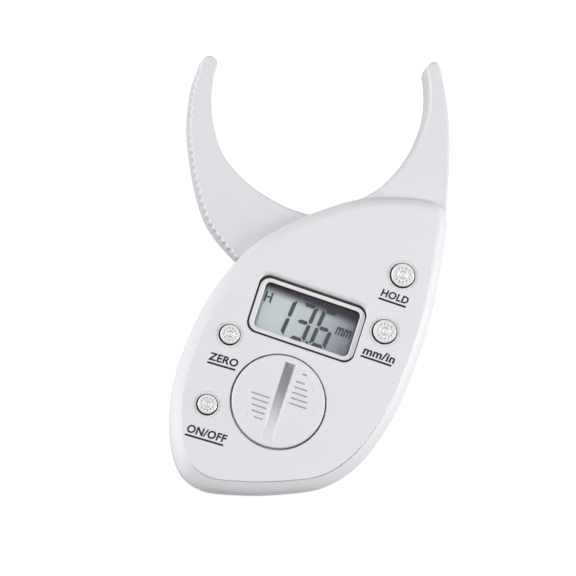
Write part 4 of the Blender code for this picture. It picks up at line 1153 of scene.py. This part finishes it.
LEFT_GRIPS = [(0.15, -10.5), (-1.85, -9.8), (-3.95, -9.1), (-6.05, -8.4), (-8.05, -6.9)]
RIGHT_GRIPS = [(0.75, 10.75), (2.75, 10.4), (4.8, 9.6), (6.9, 8.95), (9.0, 7.4), (12.2, 7.2)]
GRIP_START = 3.1
GRIP_WIDTH = 0.65
GRIP_DEPTH = 0.9
SLOT_HALF = 14.5
SLOT_WIDTH = 4.2
SLOT_DEPTH = 1.6
SLOT_HEAD = 0.35
NECK_RADIUS = 12.9
LUG_RADIUS = 14.3
ARC_STEPS = 25


def on_door(points):
    """Plan places from places across and along the coin slot, measured from the door's middle."""
    return turned_about(np.asarray(points, float), FACE_TURN) + door


def groove(surface, start, end, level, top):
    """A straight grip line with a V section and pointed ends. Returns its loop in the face."""
    half = GRIP_WIDTH / 2
    first, last = start + half, end - half
    flat = on_door([
        (start, level), (first, level - half), (last, level - half), (end, level), (last, level + half),
        (first, level + half), (first, level), (last, level),
    ])
    faces = [[0, 1, 6], [1, 2, 7], [1, 7, 6], [2, 3, 7], [3, 4, 7], [4, 5, 6], [4, 6, 7], [5, 0, 6]]
    surface.add(lifted(flat, [top] * 6 + [top - GRIP_DEPTH] * 2), np.array(faces))
    return flat[:6]


def arc_groove(surface, radius, start, end, top):
    """A fine V groove along an arc about the door's middle. Returns its loop in the face."""
    taper = np.sin(np.linspace(0, math.pi, ARC_STEPS)) ** 0.35 * 0.35
    heading = rays(np.radians(np.linspace(start, end, ARC_STEPS)))
    flat = on_door([heading * (radius + side * taper)[:, None] for side in (-1, 0, 1)])
    heights = np.full((3, ARC_STEPS), top)
    heights[1, 1:-1] -= 0.2
    surface.add(lifted(flat, heights), grid(3, ARC_STEPS, around=False))
    return np.concatenate([flat[2], flat[0, -2:0:-1]])


def coin_slot(surface, top):
    """The coin slot: a channel with sloping walls and rounded upper edges. Returns its loop.

    The floor drops fast from the slot's upper end to its depth, then rises slowly to the lower end.
    """
    half, lip, slope, rows = SLOT_WIDTH / 2, 0.30, 0.6, 81
    up = np.linspace(-SLOT_HALF, SLOT_HALF, rows)
    share = (up + SLOT_HALF) / (2 * SLOT_HALF)
    sink = SLOT_HEAD + (SLOT_DEPTH - SLOT_HEAD) * ease(share / 0.85) * ease((1 - share) / 0.10 + 0.55)
    right = np.array([half - slope, half, half + lip * 0.4, half + lip])
    across = np.concatenate([-right[::-1], right])
    drop = np.array([0, 0.06, 0.22, 0, 0, 0.22, 0.06, 0])[:, None]
    on_floor = np.array([0, 0, 0, 1, 1, 0, 0, 0])[:, None]
    flat = on_door(np.stack(np.meshgrid(across, up, indexing="ij"), axis=2))
    places = lifted(flat, top - np.where(on_floor, sink, np.minimum(drop, sink)))
    surface.add(places, grid(len(across), rows, around=False))
    for row in (0, rows - 1):
        wall = np.stack([lifted(flat[:, row], top), places[:, row]])
        surface.add(wall, grid(2, len(across), around=False))
    return np.concatenate([flat[:, 0], flat[-1, 1:], flat[-2::-1, -1], flat[0, -2:0:-1]])


def door_cap():
    """The battery door: a disc with a coin slot and grip lines, and a neck with two lugs below it.

    The edge, underside and neck are a turned profile. The lugs are the rows of the neck whose radius
    depends on the direction.
    """
    top = levels("battery_door")[1]
    surface = Surface()
    cap = softened([(16.2, top), (16.9, top), (16.9, 18.9), (NECK_RADIUS, 18.9)], [0, 0.7, 0.15, 0])
    neck = [(NECK_RADIUS, level) for level in (17.7, 17.7, 16.9, 16.9)]
    profile = np.concatenate([cap, neck, [(11.6, 16.9), (11.6, 18.9), (0, 18.9)]])
    radii = np.repeat(profile[:, :1], ROUND, axis=1)
    radii[len(cap) + 1 : len(cap) + 3] = np.where(near((10, 190), 12), LUG_RADIUS, NECK_RADIUS)
    surface.turn(profile, door, radii=radii)
    loops = [circle(door, 16.2), coin_slot(surface, top)]
    for level, end in LEFT_GRIPS:
        loops.append(groove(surface, end, -GRIP_START, level, top))
    for level, end in RIGHT_GRIPS:
        loops.append(groove(surface, GRIP_START + 0.45 if level < 12 else 5.0, end, level, top))
    loops.append(arc_groove(surface, 12.3, 178, 236, top))
    loops.append(arc_groove(surface, 13.2, -2, 62, top))
    surface.fill(loops, top)
    dressed("door_cap", surface, "door", "cover_plastic", DOOR, "battery_door")


# Screws

THREAD_PITCH = 0.8
THREAD_RADIUS = 0.82
CROSS = [(0.28, 1.25), (-0.28, 1.25), (-0.28, 0.28), (-1.25, 0.28), (-1.25, -0.28), (-0.28, -0.28)]


def case_screw(number):
    """A case screw: a pan head with a cross recess, and a helical thread.

    The thread's radius is a triangle wave of height over pitch less the turn, so its crest climbs.
    """
    node = f"case_screw_{number}"
    bottom, top = levels(node)
    middle = centre(node)
    head = softened([(0, bottom), (2.3, bottom), (2.3, bottom + 2.0), (0.78, bottom + 2.0)],
                    [0, 0.7, 0.15, 0], steps=6)
    climb = np.arange(bottom + 2.02, top - 1.2, 0.1)
    shank = np.stack([np.full(len(climb), THREAD_RADIUS), climb], axis=1)
    profile = np.concatenate([head, shank, [(0.6, top - 1.0), (0.35, top - 0.4), (0, top)]])
    turns = np.arange(32) / 32
    crest = np.abs((profile[:, 1:] / THREAD_PITCH - turns) % 1 - 0.5) * 0.36
    threaded = (np.arange(len(profile)) > len(head))[:, None] & (profile[:, :1] > 0.7)
    radii = profile[:, :1] + np.where(threaded, crest, 0)
    surface = Surface().turn(profile, middle, 32, radii=radii)
    cross = turned_about(np.concatenate([CROSS, -np.array(CROSS)]), number * 0.7)
    recess = Surface().slab([cross + middle, cross * 0.45 + middle], [bottom - 0.3, bottom + 1.1])
    steel = turned_metal(f"{node}_steel", (0.50, 0.50, 0.51), 0.35, middle)
    mesh = combined(surface, ("DIFFERENCE", recess))
    dressed(f"{node}_shape", mesh, "housing", "screw_steel", steel, node)


# CAD nodes that keep their shape


def inner_parts():
    """Gives each node that keeps its shape the material of the real part."""
    switches = " ".join(f"{name}_switch {name}_plunger" for name in BUTTONS)
    finishes = [
        (BLACK_PLASTIC, "lcd_holder controller_chip " + switches),
        (BLACK_RUBBER, "door_seal"),
        (GREY_RUBBER, "zebra_strip_upper zebra_strip_lower"),
        (laminate(), "circuit_board encoder_rotor"),
        (display_ground(), "lcd_glass"),
    ]
    metals = [
        ("bush_brass", (0.70, 0.52, 0.22), 0.30, pivot, "pivot_bush"),
        ("washer_steel", (0.60, 0.60, 0.58), 0.25, pivot, "friction_washer retaining_washer"),
        ("pivot_screw_steel", (0.45, 0.45, 0.46), 0.35, pivot, "pivot_screw"),
        ("contact_steel", (0.60, 0.60, 0.58), 0.28, door, "battery_contact_plus battery_contact_minus"),
        ("cell_steel", (0.72, 0.72, 0.70), 0.22, door, "coin_cell"),
    ]
    for number, place in enumerate(board_screws, 1):
        node = f"board_screw_{number}"
        metals.append((f"{node}_steel", (0.45, 0.45, 0.46), 0.35, place, node))
    finishes += [(turned_metal(*values), names) for *values, names in metals]
    for material, names in finishes:
        for node in names.split():
            coat(nodes[node], material)


# Studio

FLOOR_GLOW = 0.80
FLOOR_REACH = 6.0
FLOOR_GAP = 0.0001
WORLD_LIGHT = 0.25
LAMP_AIM = (0, 0, 0.01)


def floor():
    """A white floor that keeps the object's soft shadow and shows white round it.

    It lies a hair under the back cover and is clear from below.
    """
    material, tree, shader = blank("white_floor", {
        "Base Color": (0.42, 0.42, 0.42, 1), "Roughness": 0.9, "Specular IOR Level": 0.0,
        "Emission Color": (1, 1, 1, 1),
    })
    ray = put(tree, "LightPath").outputs
    seen = maths(tree, "MAXIMUM", ray["Is Camera Ray"], ray["Is Glossy Ray"])
    seen = maths(tree, "MAXIMUM", seen, ray["Is Transmission Ray"])
    tree.links.new(maths(tree, "MULTIPLY", seen, FLOOR_GLOW), shader.inputs["Emission Strength"])
    clear_where(tree, put(tree, "NewGeometry").outputs["Backfacing"])
    mesh = bpy.data.meshes.new("floor")
    corners = box(-FLOOR_REACH, -FLOOR_REACH, FLOOR_REACH, FLOOR_REACH)
    mesh.from_pydata(lifted(corners, -FLOOR_GAP).tolist(), [], [[0, 1, 2, 3]])
    made = linked("floor", mesh)
    made.data.materials.append(material)


def area_lamp(name, place, width, height, power):
    """A soft panel lamp at a place, turned towards the object."""
    data = bpy.data.lights.new(name, "AREA")
    data.shape, data.size, data.size_y, data.energy = "RECTANGLE", width, height, power
    made = linked(name, data)
    made.location = place
    made.rotation_euler = (Vector(LAMP_AIM) - Vector(place)).to_track_quat("-Z", "Y").to_euler()


def studio():
    """A pale world, three panel lamps, and colours shown as they are."""
    world = bpy.data.worlds.new("studio")
    world.use_nodes = True
    bpy.context.scene.world = world
    background = world.node_tree.nodes["Background"]
    background.inputs["Color"].default_value = (1.0, 1.0, 1.0, 1)
    background.inputs["Strength"].default_value = WORLD_LIGHT
    area_lamp("front_lamp", (-0.55, 0.40, 1.30), 0.45, 0.45, 7.5)
    area_lamp("left_lamp", (-1.3, 0.05, 0.45), 0.5, 1.0, 11.0)
    area_lamp("right_lamp", (0.66, -0.12, 0.28), 0.25, 0.5, 4.0)
    bpy.context.scene.view_settings.view_transform = "Standard"


CAMERA_AIM = (-8.052, -4.749, 15.0)
CAMERA_LEAN = (-0.13291, -0.15038)
CAMERA_DISTANCE = 4.0
CAMERA_LENS = 694.66


def camera():
    """A long lens above the object, leaned to the left and down as in the photograph."""
    data = bpy.data.cameras.new("camera")
    data.sensor_width, data.lens = 36.0, CAMERA_LENS
    made = linked("camera", data)
    direction = Vector((*CAMERA_LEAN, 1)).normalized()
    made.location = Vector(CAMERA_AIM) * MM + direction * CAMERA_DISTANCE
    made.rotation_euler = Vector((0, 0, 1)).rotation_difference(direction).to_euler()
    bpy.context.scene.camera = made


camera()
front_shell()
rear_shell()
swing_arm()
display_frame()
window_pane()
display_digits()
function_labels()
for key, key_radius in BUTTONS.items():
    key_cap(key, key_radius)
door_cap()
for screw_number in range(1, 5):
    case_screw(screw_number)
inner_parts()
floor()
studio()
